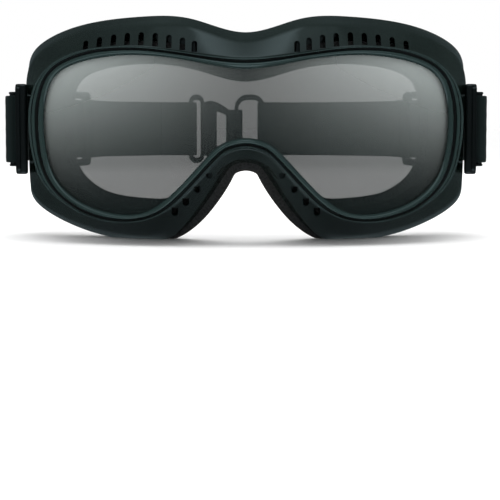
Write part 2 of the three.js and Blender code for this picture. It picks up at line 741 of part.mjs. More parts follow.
function ringGeometry() {
  const shape = roundedRect(
    new THREE.Shape(),
    [CATCH_BAR_X - CLASP_HALF, -CLASP_HEIGHT],
    [RING_BAR_X + CLASP_HALF, CLASP_HEIGHT],
    RING_CORNER,
  );
  const low = [CATCH_BAR_X + CLASP_HALF, -CLASP_WINDOW];
  const high = [RING_BAR_X - CLASP_HALF, CLASP_WINDOW];
  shape.holes.push(roundedRect(new THREE.Path(), low, high, CLASP_HALF));
  return frontPlate(shape, CLASP_Y - CLASP_HALF, CLASP_Y + CLASP_HALF);
}

const HOOK_THICKNESS = 1.4;
// Its bends in plan, as x and y behind the clasp's plane.
const HOOK_PLAN = [[HOOK_LOOP_WINDOW, 0], [-11, 0], [-8.4, 2.1], [-3, 2.1], [-2.8, -0.4]];
// Lower halves of its outline and window from behind, as x and z.
const HOOK_EDGE = [[-23, -11.5], [-18, -14], [-14, -12.6], [-9, -9.2], [0, -9.2]];
const HOOK_WINDOW = [[-14.5, -8.4], [-9.6, -6.4]];

// Hook plate: flat behind the strap's fold, stepped out over the ring's catch bar, with a lip beyond it.
function hookPlate() {
  const plan = HOOK_PLAN.map(([x, y]) => new THREE.Vector2(x, CLASP_Y + y));
  const sheet = ribbon(plan, HOOK_THICKNESS, 2 * CLASP_HEIGHT);
  const loopOf = (edge) => {
    const upper = edge.map(([x, z]) => [x, -z]).reverse();
    return [...edge, ...upper].map(([x, z]) => new THREE.Vector2(x, z));
  };
  const outline = new THREE.Shape(loopOf(HOOK_EDGE));
  outline.holes.push(new THREE.Path(loopOf(HOOK_WINDOW)));
  const block = frontPlate(outline, CLASP_Y - CLASP_HEIGHT, CLASP_Y + CLASP_HEIGHT);
  return toManifold(sheet).intersect(toManifold(block));
}

function hookGeometry() {
  const near = HOOK_BAR_X - CLASP_HALF;
  const far = [HOOK_LOOP_END, CLASP_HEIGHT];
  const loop = roundedRect(new THREE.Shape(), [near, -CLASP_HEIGHT], far, HOOK_CORNER);
  const low = [HOOK_BAR_X + CLASP_HALF, -CLASP_WINDOW];
  loop.holes.push(roundedRect(new THREE.Path(), low, [HOOK_LOOP_WINDOW, CLASP_WINDOW], CLASP_HALF));
  const ring = toManifold(frontPlate(loop, CLASP_Y - CLASP_HALF, CLASP_Y + CLASP_HALF));
  return fromManifold(hookPlate().add(ring));
}

// ---------------------------------------------------------------- assembly

const goggles = new THREE.Group();

function addPart(name, geometry, finish) {
  const mesh = new THREE.Mesh(geometry, new THREE.MeshStandardMaterial(finish));
  mesh.name = name;
  goggles.add(mesh);
}

function addPair(name, geometry, finish) {
  addPart(`${name}_left`, geometry, finish);
  addPart(`${name}_right`, mirrored(welded(geometry)), finish);
}

const shell = shellGeometry();
const faceFoam = softRing(foamSection, shell);

addPart('frame_shell', shell, FRAME_BLACK);
addPart('lens_bezel', ringOf(bezelSection), BEZEL_BLACK);
addPart('lens', lensGeometry(), SMOKE);
addPart('lens_gasket', ringOf(gasketSection), GASKET_RUBBER);
addPart('face_foam', faceFoam, FOAM_GREY);
addPart('face_lining', softRing(liningSection, faceFoam), FLEECE_GREY);
addPair('brow_vent_filter', ventFilter(1.15, 3.3, 0.6), FOAM_GREY);
addPair('nose_vent_filter', ventFilter(11.1, 12.9, 0.8), FOAM_GREY);
addPair('strap_bracket', bracketGeometry(), FRAME_BLACK);
addPair('strap_end', strapEnd(), WEBBING_BLACK);
addPair('strap_side', strapSide(), WEBBING_BLACK);
addPart('strap_rear_left', strapRear(RING_BAR_X), WEBBING_BLACK);
addPart('strap_rear_right', mirrored(welded(strapRear(-HOOK_BAR_X))), WEBBING_BLACK);
addPart('strap_return_left', strapReturn(RING_BAR_X), WEBBING_BLACK);
addPart('strap_return_right', mirrored(welded(strapReturn(-HOOK_BAR_X))), WEBBING_BLACK);
addPair('slider', sliderGeometry(), BUCKLE_BLACK);
addPart('rear_ring', ringGeometry(), BUCKLE_BLACK);
addPart('rear_hook', hookGeometry(), BUCKLE_BLACK);

// Stand the goggles on z = 0, centred on their box.
const bounds = new THREE.Box3().setFromObject(goggles);
const centre = bounds.getCenter(new THREE.Vector3());
goggles.position.set(-centre.x, -centre.y, -bounds.min.z);
goggles.updateMatrixWorld(true);

export default goggles;
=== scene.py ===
"""Looks of the over-the-glasses motorcycle goggles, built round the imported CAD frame.

Shapes are worked out in the CAD drawing's millimetres: origin at the front of the nose bridge, level with
the middle of the strap, +X the wearer's left, +Y back towards the head, +Z up. to_row() puts them in the row
frame.
"""

import math

import bmesh
import bpy
import numpy as np
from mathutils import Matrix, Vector, noise
from mathutils.bvhtree import BVHTree


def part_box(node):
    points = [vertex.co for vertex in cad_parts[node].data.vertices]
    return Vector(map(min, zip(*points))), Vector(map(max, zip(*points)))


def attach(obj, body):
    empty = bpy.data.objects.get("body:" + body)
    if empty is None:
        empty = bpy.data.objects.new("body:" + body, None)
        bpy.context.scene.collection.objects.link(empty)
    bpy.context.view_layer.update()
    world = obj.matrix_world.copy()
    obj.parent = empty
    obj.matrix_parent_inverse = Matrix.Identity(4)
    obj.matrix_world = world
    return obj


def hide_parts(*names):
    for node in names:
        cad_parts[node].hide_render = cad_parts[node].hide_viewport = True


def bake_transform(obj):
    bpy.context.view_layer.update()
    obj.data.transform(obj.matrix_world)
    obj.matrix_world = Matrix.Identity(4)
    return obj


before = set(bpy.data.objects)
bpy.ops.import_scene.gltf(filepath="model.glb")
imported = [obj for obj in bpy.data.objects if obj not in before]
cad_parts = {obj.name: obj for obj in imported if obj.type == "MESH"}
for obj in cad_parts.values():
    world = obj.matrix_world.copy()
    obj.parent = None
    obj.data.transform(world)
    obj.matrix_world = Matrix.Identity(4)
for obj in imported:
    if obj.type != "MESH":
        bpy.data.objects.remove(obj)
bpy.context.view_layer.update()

# ---------------- the CAD's driving dimensions, in mm

MM = 0.001
LENS_RADIUS = 114
LENS_THICKNESS = 1.6
LENS_SET_BACK = 1.8
LENS_OVERLAP = 1.2
GAP = 0.3
WALL = 1.6
SHELL_WALL = 2
FLANGE_SHARE = 0.8
FOAM_GAP = 0.5
LINING = 0.8
REST_LEVEL = -41
SEAT_BACK = 1.4
COLLAR_FRONT = 6.1

WEBBING_WIDTH = 25.4
WEBBING = 1.3
RETURN_WEBBING = 1.1
FOLD_RADIUS = 2.25
RETURN_FOLD = 1.85

BRACKET_FRONT = 50.5
BAR_X = 89.2
BAR_Y = 60
BAR_RADIUS = 1.25

SLIDER_Y = 160
SLIDER_THICKNESS = 1.4
SLIDER_END_LIFT = 1.8
SLIDER_BOW = 5.1

CLASP_Y = 215.1
CLASP_HEIGHT = 16.5
CLASP_HALF = 0.9
RING_BAR_X = 8
CATCH_BAR_X = -5
HOOK_BAR_X = -27

LENS_OPENING = [
    # x, z
    (0, 20.7), (18.2, 23.3), (37.6, 25.7), (54.8, 24.5), (66.5, 20.5), (71.6, 13.5), (73.2, 2.9),
    (71.7, -10.4), (66.4, -20.5), (55.8, -27.3), (43.2, -30), (32.9, -27.9), (22.7, -19.6),
    (12.5, -8.7), (6.3, -4.3), (0, -3.1),
]
BEZEL_EDGE = [
    # x, z, depth of the bezel's side wall
    (0, 24.6, 9), (18.1, 26.2, 10), (37.5, 28.8, 10.5), (57.2, 28.1, 12.5), (70.6, 23.1, 14),
    (77.6, 14.7, 15), (79.8, 2.9, 16), (77.7, -11.7, 17), (71.3, -22.6, 18), (58.7, -30.2, 19),
    (43.8, -33, 20), (30.5, -30.2, 19), (20.2, -22, 15), (10.1, -11.1, 9), (5.4, -7.6, 7.5),
    (0, -6.5, 7),
]
RIDGE = [
    # x, z, depth behind the nose bridge
    (0, 31, 14), (18.6, 35.6, 16.5), (37.2, 37.5, 24), (59.4, 35.9, 38), (76.6, 29.4, 50),
    (83.6, 19.3, 58), (84, 3, 62), (83.3, -16, 61), (78.8, -27.6, 56), (61.2, -35.8, 46), (44.1, -39, 40),
    (30.8, -37.5, 35), (19.4, -28.1, 28), (9, -15, 19), (4.6, -10.9, 14.5), (0, -9.8, 13),
]
RIM = [
    # x, z, depth behind the nose bridge
    (0, 34.6, 18), (18.8, 39.4, 20.5), (37.8, 40.9, 30), (61.2, 38.7, 45), (79.9, 31.4, 62),
    (85.2, 20.5, 75), (85.4, 3, 80), (85.2, -16.5, 79), (82.2, -28.8, 73), (63.4, -38.1, 59),
    (44.4, -42.1, 50), (30.2, -41.5, 43), (18.1, -31.8, 35.5), (8.1, -17.6, 25), (4.5, -13.1, 20.5),
    (0, -12.1, 18.5),
]
FOAM_OPENING = [
    # x, z
    (0, 16.9), (17.4, 21), (35.5, 23.7), (52.1, 22.6), (63, 18.8), (67.3, 12), (68.3, 3), (67.6, -8),
    (64, -17), (54.5, -23.2), (44.1, -25.4), (33.8, -25.9), (24.4, -22.8), (12.9, -10.6), (6.5, -6),
    (0, -4.9),
]
FOAM = [
    # thickness, how far it stands out past the rim
    (5, -0.8), (8, -0.8), (9.5, -0.8), (9, -0.8), (7, -0.8), (5, -0.8), (4.5, -0.8), (4.5, -0.8),
    (5, -0.8), (6.5, -0.8), (7.5, -0.6), (8, 0.2), (8, 2.4), (7, 3), (6, 2.6), (6, 2.4),
]
FOAM_CROWN = [(0.16, 0.94), (0.45, 1), (0.8, 0.84)]  # share of the foam's width, share of its thickness
VENT_X = [18.1, 22.4, 27.3, 32.2, 37.3, 42.3, 47.3, 52.5, 57.7]
VENT_WIDTH = 2
LOWER_VENTS = [11.4, 11.8, 12.2, 12.6]  # stations
STRAP_PLAN = [
    # x, y of the webbing's outer layer, bracket to back of the head
    (BAR_X + FOLD_RADIUS, BAR_Y), (90.6, 80), (86, 106), (80, 132), (74, 158), (70.4, 173.5),
    (62, 192), (46.5, 208), (27.5, CLASP_Y + FOLD_RADIUS), (10, CLASP_Y + FOLD_RADIUS),
    (-4, CLASP_Y + FOLD_RADIUS),
]

bracket_low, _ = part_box("strap_bracket_left")
shell_low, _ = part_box("frame_shell")
ORIGIN = np.array([0, bracket_low.y - BRACKET_FRONT * MM, shell_low.z - REST_LEVEL * MM])


def to_row(points):
    """Drawing millimetres to the row frame's metres."""
    return ORIGIN + np.asarray(points, float) * MM


# ---------------- camera

CAMERA_PLACE = (1.5, -542, 0.6)  # mm in the drawing
CAMERA_PITCH = 4.47  # degrees down from level
CAMERA_LENS = 112.8

camera_data = bpy.data.cameras.new("camera")
camera_data.lens = CAMERA_LENS
camera_data.clip_start = 0.02
camera = bpy.data.objects.new("camera", camera_data)
camera.location = to_row(CAMERA_PLACE)
camera.rotation_euler = (math.radians(90 - CAMERA_PITCH), 0, 0)
bpy.context.scene.collection.objects.link(camera)
bpy.context.scene.camera = camera

# ---------------- outlines round the goggles

ROUND = 300  # sections round the goggles
STATIONS = 2 * (len(LENS_OPENING) - 1)
FILLET_STEPS = 5  # facets of each rounded corner of a section
FILLET_SHARE = 0.49  # most of a side that one fillet takes


def loop_through(half, mirror, at):
    """A smooth closed loop through a half outline and its mirror image, at the stations given.

    The loop is a uniform cubic B-spline whose weights are solved so that it passes through each point.
    """
    right = np.array(half, float)
    control = np.vstack([right, right[-2:0:-1] * mirror])
    kernel = np.zeros(STATIONS)
    kernel[[0, 1, -1]] = 4 / 6, 1 / 6, 1 / 6
    spectrum = np.fft.fft(control, axis=0) / np.fft.fft(kernel)[:, None]
    weights = np.real(np.fft.ifft(spectrum, axis=0))
    first = np.floor(at).astype(int)
    t = (at - first)[:, None]
    basis = [(1 - t) ** 3, 3 * t**3 - 6 * t**2 + 4, -3 * t**3 + 3 * t**2 + 3 * t + 1, t**3]
    return sum(b * weights[(first + k - 1) % STATIONS] for k, b in enumerate(basis)) / 6


def sag(x):
    """How far back the bezel's front lies at a distance from the middle."""
    return LENS_RADIUS - np.sqrt(LENS_RADIUS**2 - x**2)


class Around:
    """Every outline at the same stations: x-z points, and what goes with them."""

    def __init__(self, stations):
        stations = np.asarray(stations, float)
        self.opening = loop_through(LENS_OPENING, (-1, 1), stations)
        bezel = loop_through(BEZEL_EDGE, (-1, 1, 1), stations)
        ridge = loop_through(RIDGE, (-1, 1, 1), stations)
        rim = loop_through(RIM, (-1, 1, 1), stations)
        foam = loop_through(FOAM, (1, 1), stations)
        self.bezel, self.bezel_back = bezel[:, :2], sag(bezel[:, 0]) + bezel[:, 2]
        self.ridge, self.ridge_depth = ridge[:, :2], ridge[:, 2]
        self.rim, self.rim_depth = rim[:, :2], rim[:, 2]
        self.foam_opening = loop_through(FOAM_OPENING, (-1, 1), stations)
        self.foam_thickness, self.foam_proud = foam[:, 0], foam[:, 1]
        self.lip = np.linalg.norm(self.bezel - self.opening, axis=1)
        self.foam_width = np.linalg.norm(self.rim - self.foam_opening, axis=1)


def unit(vectors):
    """Vectors scaled to a length of 1."""
    return vectors / np.linalg.norm(vectors, axis=-1, keepdims=True)


def inward(edge, target, distance):
    """Points that lie a distance in from an edge towards the target outline."""
    return edge + unit(target - edge) * np.reshape(distance, (-1, 1))


def at(points, depth):
    """x-z points at a depth, as x, y, z."""
    return np.stack([points[:, 0], np.broadcast_to(depth, len(points)), points[:, 1]], axis=1)


def filleted(corners, steps=FILLET_STEPS):
    """Sections from (points, radius) corners, each rounded off towards its neighbours by its radius."""
    points = [np.asarray(p, float) for p, _ in corners]
    made = []
    for i, (point, radius) in enumerate(corners):
        if not radius:
            made.append(point)
            continue
        ends = []
        for other in (points[i - 1], points[(i + 1) % len(points)]):
            run = other - point
            length = np.linalg.norm(run, axis=1)[:, None]
            ends.append(point + run / length * np.minimum(radius, FILLET_SHARE * length))
        for t in np.linspace(0, 1, steps + 1):
            made.append((1 - t) ** 2 * ends[0] + 2 * t * (1 - t) * point + t**2 * ends[1])
    return np.stack(made, axis=1)


def resting(sections, level=REST_LEVEL + GAP):
    """Sections held above the plane that the cheeks rest on."""
    sections[..., 2] = np.maximum(sections[..., 2], level)
    return sections


def arc(centre, radius, start, end, steps=10):
    """Points on an arc, angles in degrees."""
    angles = np.radians(np.linspace(start, end, steps + 1))
    return [(centre[0] + radius * math.cos(a), centre[1] + radius * math.sin(a)) for a in angles]


def rounded_rectangle(low, high, radius):
    """Corner-rounded rectangle as x-y points, anticlockwise."""
    middle = np.add(low, high) / 2
    loop = []
    for quarter, (x, y) in enumerate([(high[0], low[1]), high, (low[0], high[1]), low]):
        centre = (x - math.copysign(radius, x - middle[0]), y - math.copysign(radius, y - middle[1]))
        loop += arc(centre, radius, 90 * (quarter - 1), 90 * quarter, 8)
    return loop


# ---------------- meshes


def link(name, data):
    obj = bpy.data.objects.new(name, data)
    bpy.context.scene.collection.objects.link(obj)
    return obj


def built(name, work):
    """An object with the mesh of a bmesh, which is freed."""
    mesh = bpy.data.meshes.new(name)
    work.to_mesh(mesh)
    work.free()
    return link(name, mesh)


def baked(obj):
    """The mesh that an object's curves or modifiers make."""
    graph = bpy.context.evaluated_depsgraph_get()
    return bpy.data.meshes.new_from_object(obj.evaluated_get(graph), depsgraph=graph)


def outward(mesh):
    """Turns the faces of closed solids to point out."""
    work = bmesh.new()
    work.from_mesh(mesh)
    bmesh.ops.recalc_face_normals(work, faces=work.faces)
    work.to_mesh(mesh)
    work.free()


def smooth(obj, degrees=40):
    """Smooth shading, with edges sharper than an angle kept sharp."""
    mesh = obj.data
    mesh.shade_smooth()
    mesh.set_sharp_from_angle(angle=math.radians(degrees))
    return obj


def lofted(name, sections, ring=True):
    """A closed skin over sections that all have the same number of points. A ring joins last to first."""
    count, size = sections.shape[:2]
    index = np.arange(count * size).reshape(count, size)
    following = np.roll(index, -1, axis=0)[: count if ring else count - 1]
    here = index[: len(following)]
    quads = np.stack([here, np.roll(here, -1, axis=1), np.roll(following, -1, axis=1), following], axis=-1)
    faces = quads.reshape(-1, 4).tolist()
    if not ring:
        faces += [index[0][::-1].tolist(), index[-1].tolist()]
    mesh = bpy.data.meshes.new(name)
    mesh.from_pydata(to_row(sections.reshape(-1, 3)).tolist(), [], faces)
    outward(mesh)
    return smooth(link(name, mesh))


def joined(name, objects):
    """One object made of several."""
    work = bmesh.new()
    for obj in objects:
        work.from_mesh(obj.data)
        bpy.data.objects.remove(obj)
    return smooth(built(name, work))


def shift_vertices(mesh, move):
    """Moves all vertices of a mesh by a function of their coordinates."""
    co = np.empty(len(mesh.vertices) * 3, np.float32)
    mesh.vertices.foreach_get("co", co)
    mesh.vertices.foreach_set("co", move(co.reshape(-1, 3).astype(float)).astype(np.float32).ravel())
    mesh.update()


def mirrored(name, obj):
    """A copy on the wearer's other side."""
    mesh = obj.data.copy()
    shift_vertices(mesh, lambda co: co * (-1, 1, 1))
    mesh.flip_normals()
    return smooth(link(name, mesh))


def reshaped(obj, move):
    """Moves a piece drawn in mm by a function of its coordinates, and into the row frame."""
    shift_vertices(obj.data, lambda co: to_row(move(co)))
    outward(obj.data)
    return smooth(obj)


def plate(name, outline, holes, thickness, bevel, cuts=()):
    """A flat plate in x-y with bevelled edges, centred on z = 0, in mm.

    cuts are the x values that its faces are split at.
    """
    curve = bpy.data.curves.new(name, "CURVE")
    curve.dimensions = "2D"
    curve.fill_mode = "BOTH"
    curve.extrude = thickness / 2 - bevel
    curve.bevel_depth = bevel
    curve.bevel_resolution = 3
    curve.offset = -bevel
    for loop in [outline, *holes]:
        spline = curve.splines.new("POLY")
        spline.points.add(len(loop) - 1)
        spline.use_cyclic_u = True
        spline.points.foreach_set("co", [v for x, y in loop for v in (x, y, 0, 1)])
    drawn = link(name, curve)
    work = bmesh.new()
    work.from_mesh(baked(drawn))
    bpy.data.objects.remove(drawn)
    bmesh.ops.remove_doubles(work, verts=work.verts, dist=1e-3)
    for x in cuts:
        geometry = [*work.verts, *work.edges, *work.faces]
        bmesh.ops.bisect_plane(work, geom=geometry, plane_co=(x, 0, 0), plane_no=(1, 0, 0), dist=1e-4)
    return built(name, work)


def block(name, low, high, bevel):
    """A box between two corners in drawing mm, with rounded edges."""
    work = bmesh.new()
    bmesh.ops.create_cube(work, size=1)
    size, middle = np.subtract(high, low), np.add(high, low) / 2
    for vertex in work.verts:
        vertex.co = Vector(middle + np.array(vertex.co) * size)
    bmesh.ops.bevel(work, geom=work.edges[:], offset=bevel, segments=3, profile=0.5, affect="EDGES")
    return reshaped(built(name, work), lambda co: co)


# ---------------- materials


def rgb(parts):
    return (*parts, 1.0)


class Nodes:
    """Short ways to add nodes to a tree."""

    def __init__(self, tree):
        self.tree = tree

    def set(self, node, values):
        for key, value in values.items():
            socket = node.inputs[key]
            if isinstance(value, bpy.types.NodeSocket):
                self.tree.links.new(value, socket)
            else:
                socket.default_value = value

    def node(self, kind, inputs=(), **settings):
        made = self.tree.nodes.new("ShaderNode" + kind)
        for key, value in settings.items():
            setattr(made, key, value)
        self.set(made, dict(inputs))
        return made

    def math(self, operation, a, b=0.0):
        made = self.node("Math", {0: a, 1: b}, operation=operation)
        return made.outputs[0]

    def times(self, a, b):
        return self.math("MULTIPLY", a, b)

    def plus(self, a, b):
        return self.math("ADD", a, b)

    def span(self, value, start, end, low, high, **settings):
        """A value between start and end, as one between low and high."""
        made = self.node("MapRange", {0: value, 1: start, 2: end, 3: low, 4: high}, **settings)
        return made.outputs[0]


class Shader(Nodes):
    """A procedural material: a Principled surface and the nodes that feed it."""

    def __init__(self, name, **settings):
        self.material = bpy.data.materials.new(name)
        self.material.use_nodes = True
        super().__init__(self.material.node_tree)
        self.surface = self.tree.nodes["Principled BSDF"]
        self.set(self.surface, settings)

    def place(self, uv=False):
        """Where a point is: in metres on the piece, or along and across its webbing in mm."""
        return self.node("TexCoord").outputs["UV" if uv else "Object"]

    def noise(self, where, scale, detail=3.0, roughness=0.5):
        inputs = {"Vector": where, "Scale": scale, "Detail": detail, "Roughness": roughness}
        return self.node("TexNoise", inputs).outputs["Fac"]

    def ramp(self, value, *stops):
        """Colours or greys along a value, as (position, colour or grey)."""
        made = self.node("ValToRGB", {"Fac": value})
        elements = made.color_ramp.elements
        while len(elements) < len(stops):
            elements.new(0.5)
        for element, (position, colour) in zip(elements, stops):
            element.position = position
            element.color = rgb(colour if isinstance(colour, tuple) else [colour] * 3)
        return made.outputs["Color"]

    def mix(self, share, a, b):
        made = self.node("Mix", {"Factor": share, 6: a, 7: b}, data_type="RGBA")
        return made.outputs[2]

    def skin(self, colour, roughness):
        self.set(self.surface, {"Base Color": colour, "Roughness": roughness})

    def bump(self, height, distance, strength=1.0):
        made = self.node("Bump", {"Height": height, "Distance": distance, "Strength": strength})
        self.set(self.surface, {"Normal": made.outputs["Normal"]})


def moulded(name, dark, light, roughness, coat, grain):
    """Glossy moulded plastic: faint flow mottling, a polished skin with slight orange peel, fine scuffs."""
    s = Shader(name, **{"IOR": 1.46, "Coat Weight": coat, "Coat Roughness": 0.05})
    where = s.place()
    mottle = s.ramp(s.noise(where, 38, 4), (0.35, 0.0), (0.7, 1.0))
    scuffs = s.noise(where, 420, 5, 0.7)
    s.skin(s.mix(mottle, rgb(dark), rgb(light)), s.span(scuffs, 0.35, 0.75, roughness, roughness + 0.09))
    s.bump(s.noise(where, grain, 2), 0.00012, 0.05)
    return s.material


LENS_TINT = 0.66  # share of the light each face of the lens holds back
SMOKE = (0.004, 0.007, 0.0065)
LENS_PAINTED_REFLECTION = (0.410, 0.452, 0.442)  # the painted reflection, a pale colour, at its strongest
PAINTED_REFLECTION_REACH = 72  # mm from the middle to where the painted reflection is strongest
PAINTED_REFLECTION_LEVELS = (-30.7, 22)  # mm: where the painted reflection is weakest and strongest
PAINTED_REFLECTION_LEAST = 0.12  # the painted reflection's share at the weakest level, and of the rest at the middle
PAINTED_REFLECTION_EDGE = (0.31, 0.43)  # how far the lens turns away, from 0 to 1, where the painted reflection fades


def smoke_lens():
    """One-piece smoke lens: a see-through tint under a painted reflection, pale and stronger up and out to
    the temples.
    """
    s = Shader("smoke_lens", **{"Roughness": 0.03, "IOR": 1.5, "Alpha": LENS_TINT})
    where = s.place()
    split = s.node("SeparateXYZ", {0: where})
    # painted reflection: grows out towards the temples and upwards, and fades where the lens turns away
    aside = s.times(s.math("ABSOLUTE", split.outputs[0]), 1 / (PAINTED_REFLECTION_REACH * MM))
    aside = s.times(s.math("POWER", aside, 1.25), 1 - PAINTED_REFLECTION_LEAST)
    low, high = (float(to_row((0, 0, z))[2]) for z in PAINTED_REFLECTION_LEVELS)
    rise = s.math("POWER", s.span(split.outputs[2], low, high, PAINTED_REFLECTION_LEAST, 1.0), 2.5)
    painted_reflection = s.times(rise, s.plus(aside, PAINTED_REFLECTION_LEAST))
    turned = s.node("LayerWeight", {"Blend": 0.5}).outputs["Facing"]
    painted_reflection = s.times(painted_reflection, s.span(turned, *PAINTED_REFLECTION_EDGE, 1.0, 0.06))
    # slight random unevenness of the painted reflection, which is mixed into the smoke's base colour
    reflection_mottle = s.span(s.noise(where, 30, 3), 0.0, 1.0, 0.96, 1.04)
    s.set(s.surface, {"Base Color": s.mix(s.times(painted_reflection, reflection_mottle), rgb(SMOKE), rgb(LENS_PAINTED_REFLECTION))})
    return s.material


def cloth(specular, sheen, sheen_roughness):
    return {"Specular IOR Level": specular, "Sheen Weight": sheen, "Sheen Roughness": sheen_roughness}


def open_foam(name, dark, light, tint, cell, depth):
    """Open-cell foam: packed cells with darker pits, a fibrous skin and slow colour drift."""
    s = Shader(name, **cloth(0.12, 0.05, 0.6))
    where = s.place()
    cells = s.node("TexVoronoi", {"Vector": where, "Scale": cell}).outputs["Distance"]
    fibres = s.noise(where, cell * 2.4, 6, 0.75)
    drift = s.ramp(s.noise(where, 45, 3), (0.45, 0.0), (0.8, 0.55))
    pits = s.times(s.plus(cells, fibres), 0.7)
    colour = s.mix(s.ramp(pits, (0.2, 0.0), (0.75, 1.0)), rgb(dark), rgb(light))
    s.skin(s.mix(drift, colour, rgb(tint)), s.ramp(fibres, (0.0, 0.86), (1.0, 1.0)))
    s.bump(s.plus(cells, s.times(fibres, 0.6)), depth, 0.9)
    return s.material


def fleece():
    """Brushed face lining: short matted pile in charcoal."""
    s = Shader("brushed_fleece", **cloth(0.1, 0.12, 0.5))
    where = s.place()
    pile = s.noise(where, 1500, 6, 0.8)
    both = s.plus(pile, s.noise(where, 320, 4, 0.6))
    shade = s.times(both, 0.5)
    colour = s.ramp(shade, (0.3, (0.006, 0.0072, 0.0074)), (0.7, (0.023, 0.026, 0.027)))
    s.skin(colour, s.ramp(pile, (0.0, 0.9), (1.0, 1.0)))
    s.bump(both, 0.0004, 0.8)
    return s.material


def twill_webbing():
    """Woven elastic: fine diagonal twill over ribs that run along it, with a slight fuzz."""
    s = Shader("twill_webbing", **cloth(0.12, 0.03, 0.4))
    where = s.place(uv=True)
    split = s.node("SeparateXYZ", {0: where})
    along, across = split.outputs[0], split.outputs[1]

    def wave(distance, pitch, height):
        return s.times(s.math("SINE", s.times(distance, pitch)), height)

    diagonal = wave(s.plus(along, s.times(across, 0.72)), 8.2, 0.5)
    counter = wave(s.math("SUBTRACT", along, s.times(across, 1.9)), 5.1, 0.22)
    weave = s.plus(s.plus(diagonal, counter), wave(across, 6.6, 0.18))
    fuzz = s.noise(where, 3.1, 5, 0.7)
    height = s.plus(s.times(weave, 0.5), fuzz)
    colour = s.ramp(height, (0.15, (0.0011, 0.0024, 0.0024)), (0.55, (0.0040, 0.0082, 0.0082)),
                    (1.0, (0.017, 0.030, 0.030)))
    s.skin(colour, s.ramp(fuzz, (0.2, 0.78), (0.8, 0.95)))
    s.bump(height, 0.00022, 0.75)
    return s.material


def grained(name, grain, dark, light, roughness, relief, **settings):
    """A surface whose colour and roughness follow one noise: worn coating, twisted thread, bloom on rubber.

    dark, light and both ends of roughness come with their place in the noise. relief: noise, depth, strength.
    """
    s = Shader(name, **settings)
    where = s.place()
    shade = s.noise(where, *grain)
    s.skin(s.ramp(shade, dark, light), s.ramp(shade, *roughness))
    bumps, depth, strength = relief
    s.bump(s.noise(where, *bumps), depth, strength)
    return s.material


FRAME_GLOSS = moulded("frame_gloss", (0.0034, 0.0062, 0.0054), (0.0066, 0.0108, 0.0094), 0.045, 0.3, 160)
BEZEL_GLOSS = moulded("bezel_gloss", (0.0100, 0.0195, 0.0185), (0.0145, 0.0255, 0.0245), 0.05, 0.4, 140)
# near-black and matte: painted shade in the bezel's groove and scored line
GROOVE_PAINTED_SHADE = moulded("groove_painted_shade", (0.0008, 0.0012, 0.0013), (0.0014, 0.0019, 0.0020), 0.45, 0, 140)
BRACKET_GLOSS = moulded("bracket_gloss", (0.0008, 0.0014, 0.0015), (0.0016, 0.0026, 0.0028), 0.16, 0, 170)
LENS_SMOKE = smoke_lens()
SEAL_FOAM, VENT_FOAM, EDGE_FOAM = (
    open_foam(name, *colours, cell, depth)
    for name, colours, cell, depth in [
        ("seal_foam", [(0.006, 0.0068, 0.0070), (0.026, 0.028, 0.029), (0.019, 0.018, 0.016)], 900, 0.0006),
        ("vent_foam", [(0.004, 0.004, 0.005), (0.028, 0.029, 0.030), (0.014, 0.014, 0.013)], 620, 0.0009),
        ("edge_foam", [(0.007, 0.006, 0.005), (0.024, 0.020, 0.016), (0.026, 0.021, 0.016)], 800, 0.0005),
    ]
)
FLEECE = fleece()
WEBBING_TWILL = twill_webbing()
THREAD = grained(
    "sewing_thread", (2600, 2), (0.3, (0.0014, 0.0024, 0.0028)), (0.7, (0.0050, 0.0080, 0.0090)),
    [(0.2, 0.5), (0.8, 0.75)], ((2600, 2), 0.0001, 1.0), **{"Specular IOR Level": 0.2, "Sheen Weight": 0.05})
BUCKLE = grained(
    "satin_buckle", (180, 4, 0.65), (0.3, (0.005, 0.0068, 0.0074)), (0.75, (0.014, 0.017, 0.018)),
    [(0.3, 0.46), (0.8, 0.34)], ((2200, 3, 0.6), 0.00008, 0.4), **{"IOR": 1.5, "Metallic": 0.25})
RUBBER = grained(
    "gasket_rubber", (260, 4), (0.3, (0.010, 0.010, 0.011)), (0.8, (0.022, 0.022, 0.023)),
    [(0.2, 0.72), (0.8, 0.88)], ((260, 4), 0.0001, 0.5), **{"Specular IOR Level": 0.3})


def finished(obj, material):
    """Gives a piece its material."""
    obj.data.materials.clear()
    obj.data.materials.append(material)


# ---------------- bezel and lens

CREST_WIDTH = 3.3
CREST_MOST = 0.8  # the largest share of the bezel's lip that the crest and the groove take
CREST = [
    # share of the way across crest and groove, depth behind the lens's arc, fillet
    (0, SEAT_BACK, 0.15), (0, 0.3, 0.45), (0.28, -0.7, 1.1), (0.62, -0.65, 0.8), (0.74, 0.95, 0.3),
    (1, 0.95, 0.3),
]
OUTER_BAND = [
    # share of the way across the outer band, depth, share of the scored line's depth, fillet
    (0.14, -0.15, 0, 0.4), (0.5, 0.1, 0, 0.12), (0.54, 0.12, 1, 0.1), (0.6, 0.15, 1, 0.1),
    (0.64, 0.2, 0, 0.12), (1, 1.0, 0, 0.9),
]
SCORE_DEPTH = 0.55
SCORE_FROM, SCORE_FULL = 1.05, 4.05  # mm of band where the scored line begins, and where it is at full depth
PAINTED_SHADE_STRIPS = [(3, 6), (7, 10)]  # the groove and the scored line, painted dark as shade, between these corners of the section
LENS_STRIPS, LENS_ROWS = 180, 26

round_about = Around(np.arange(ROUND) * STATIONS / ROUND)


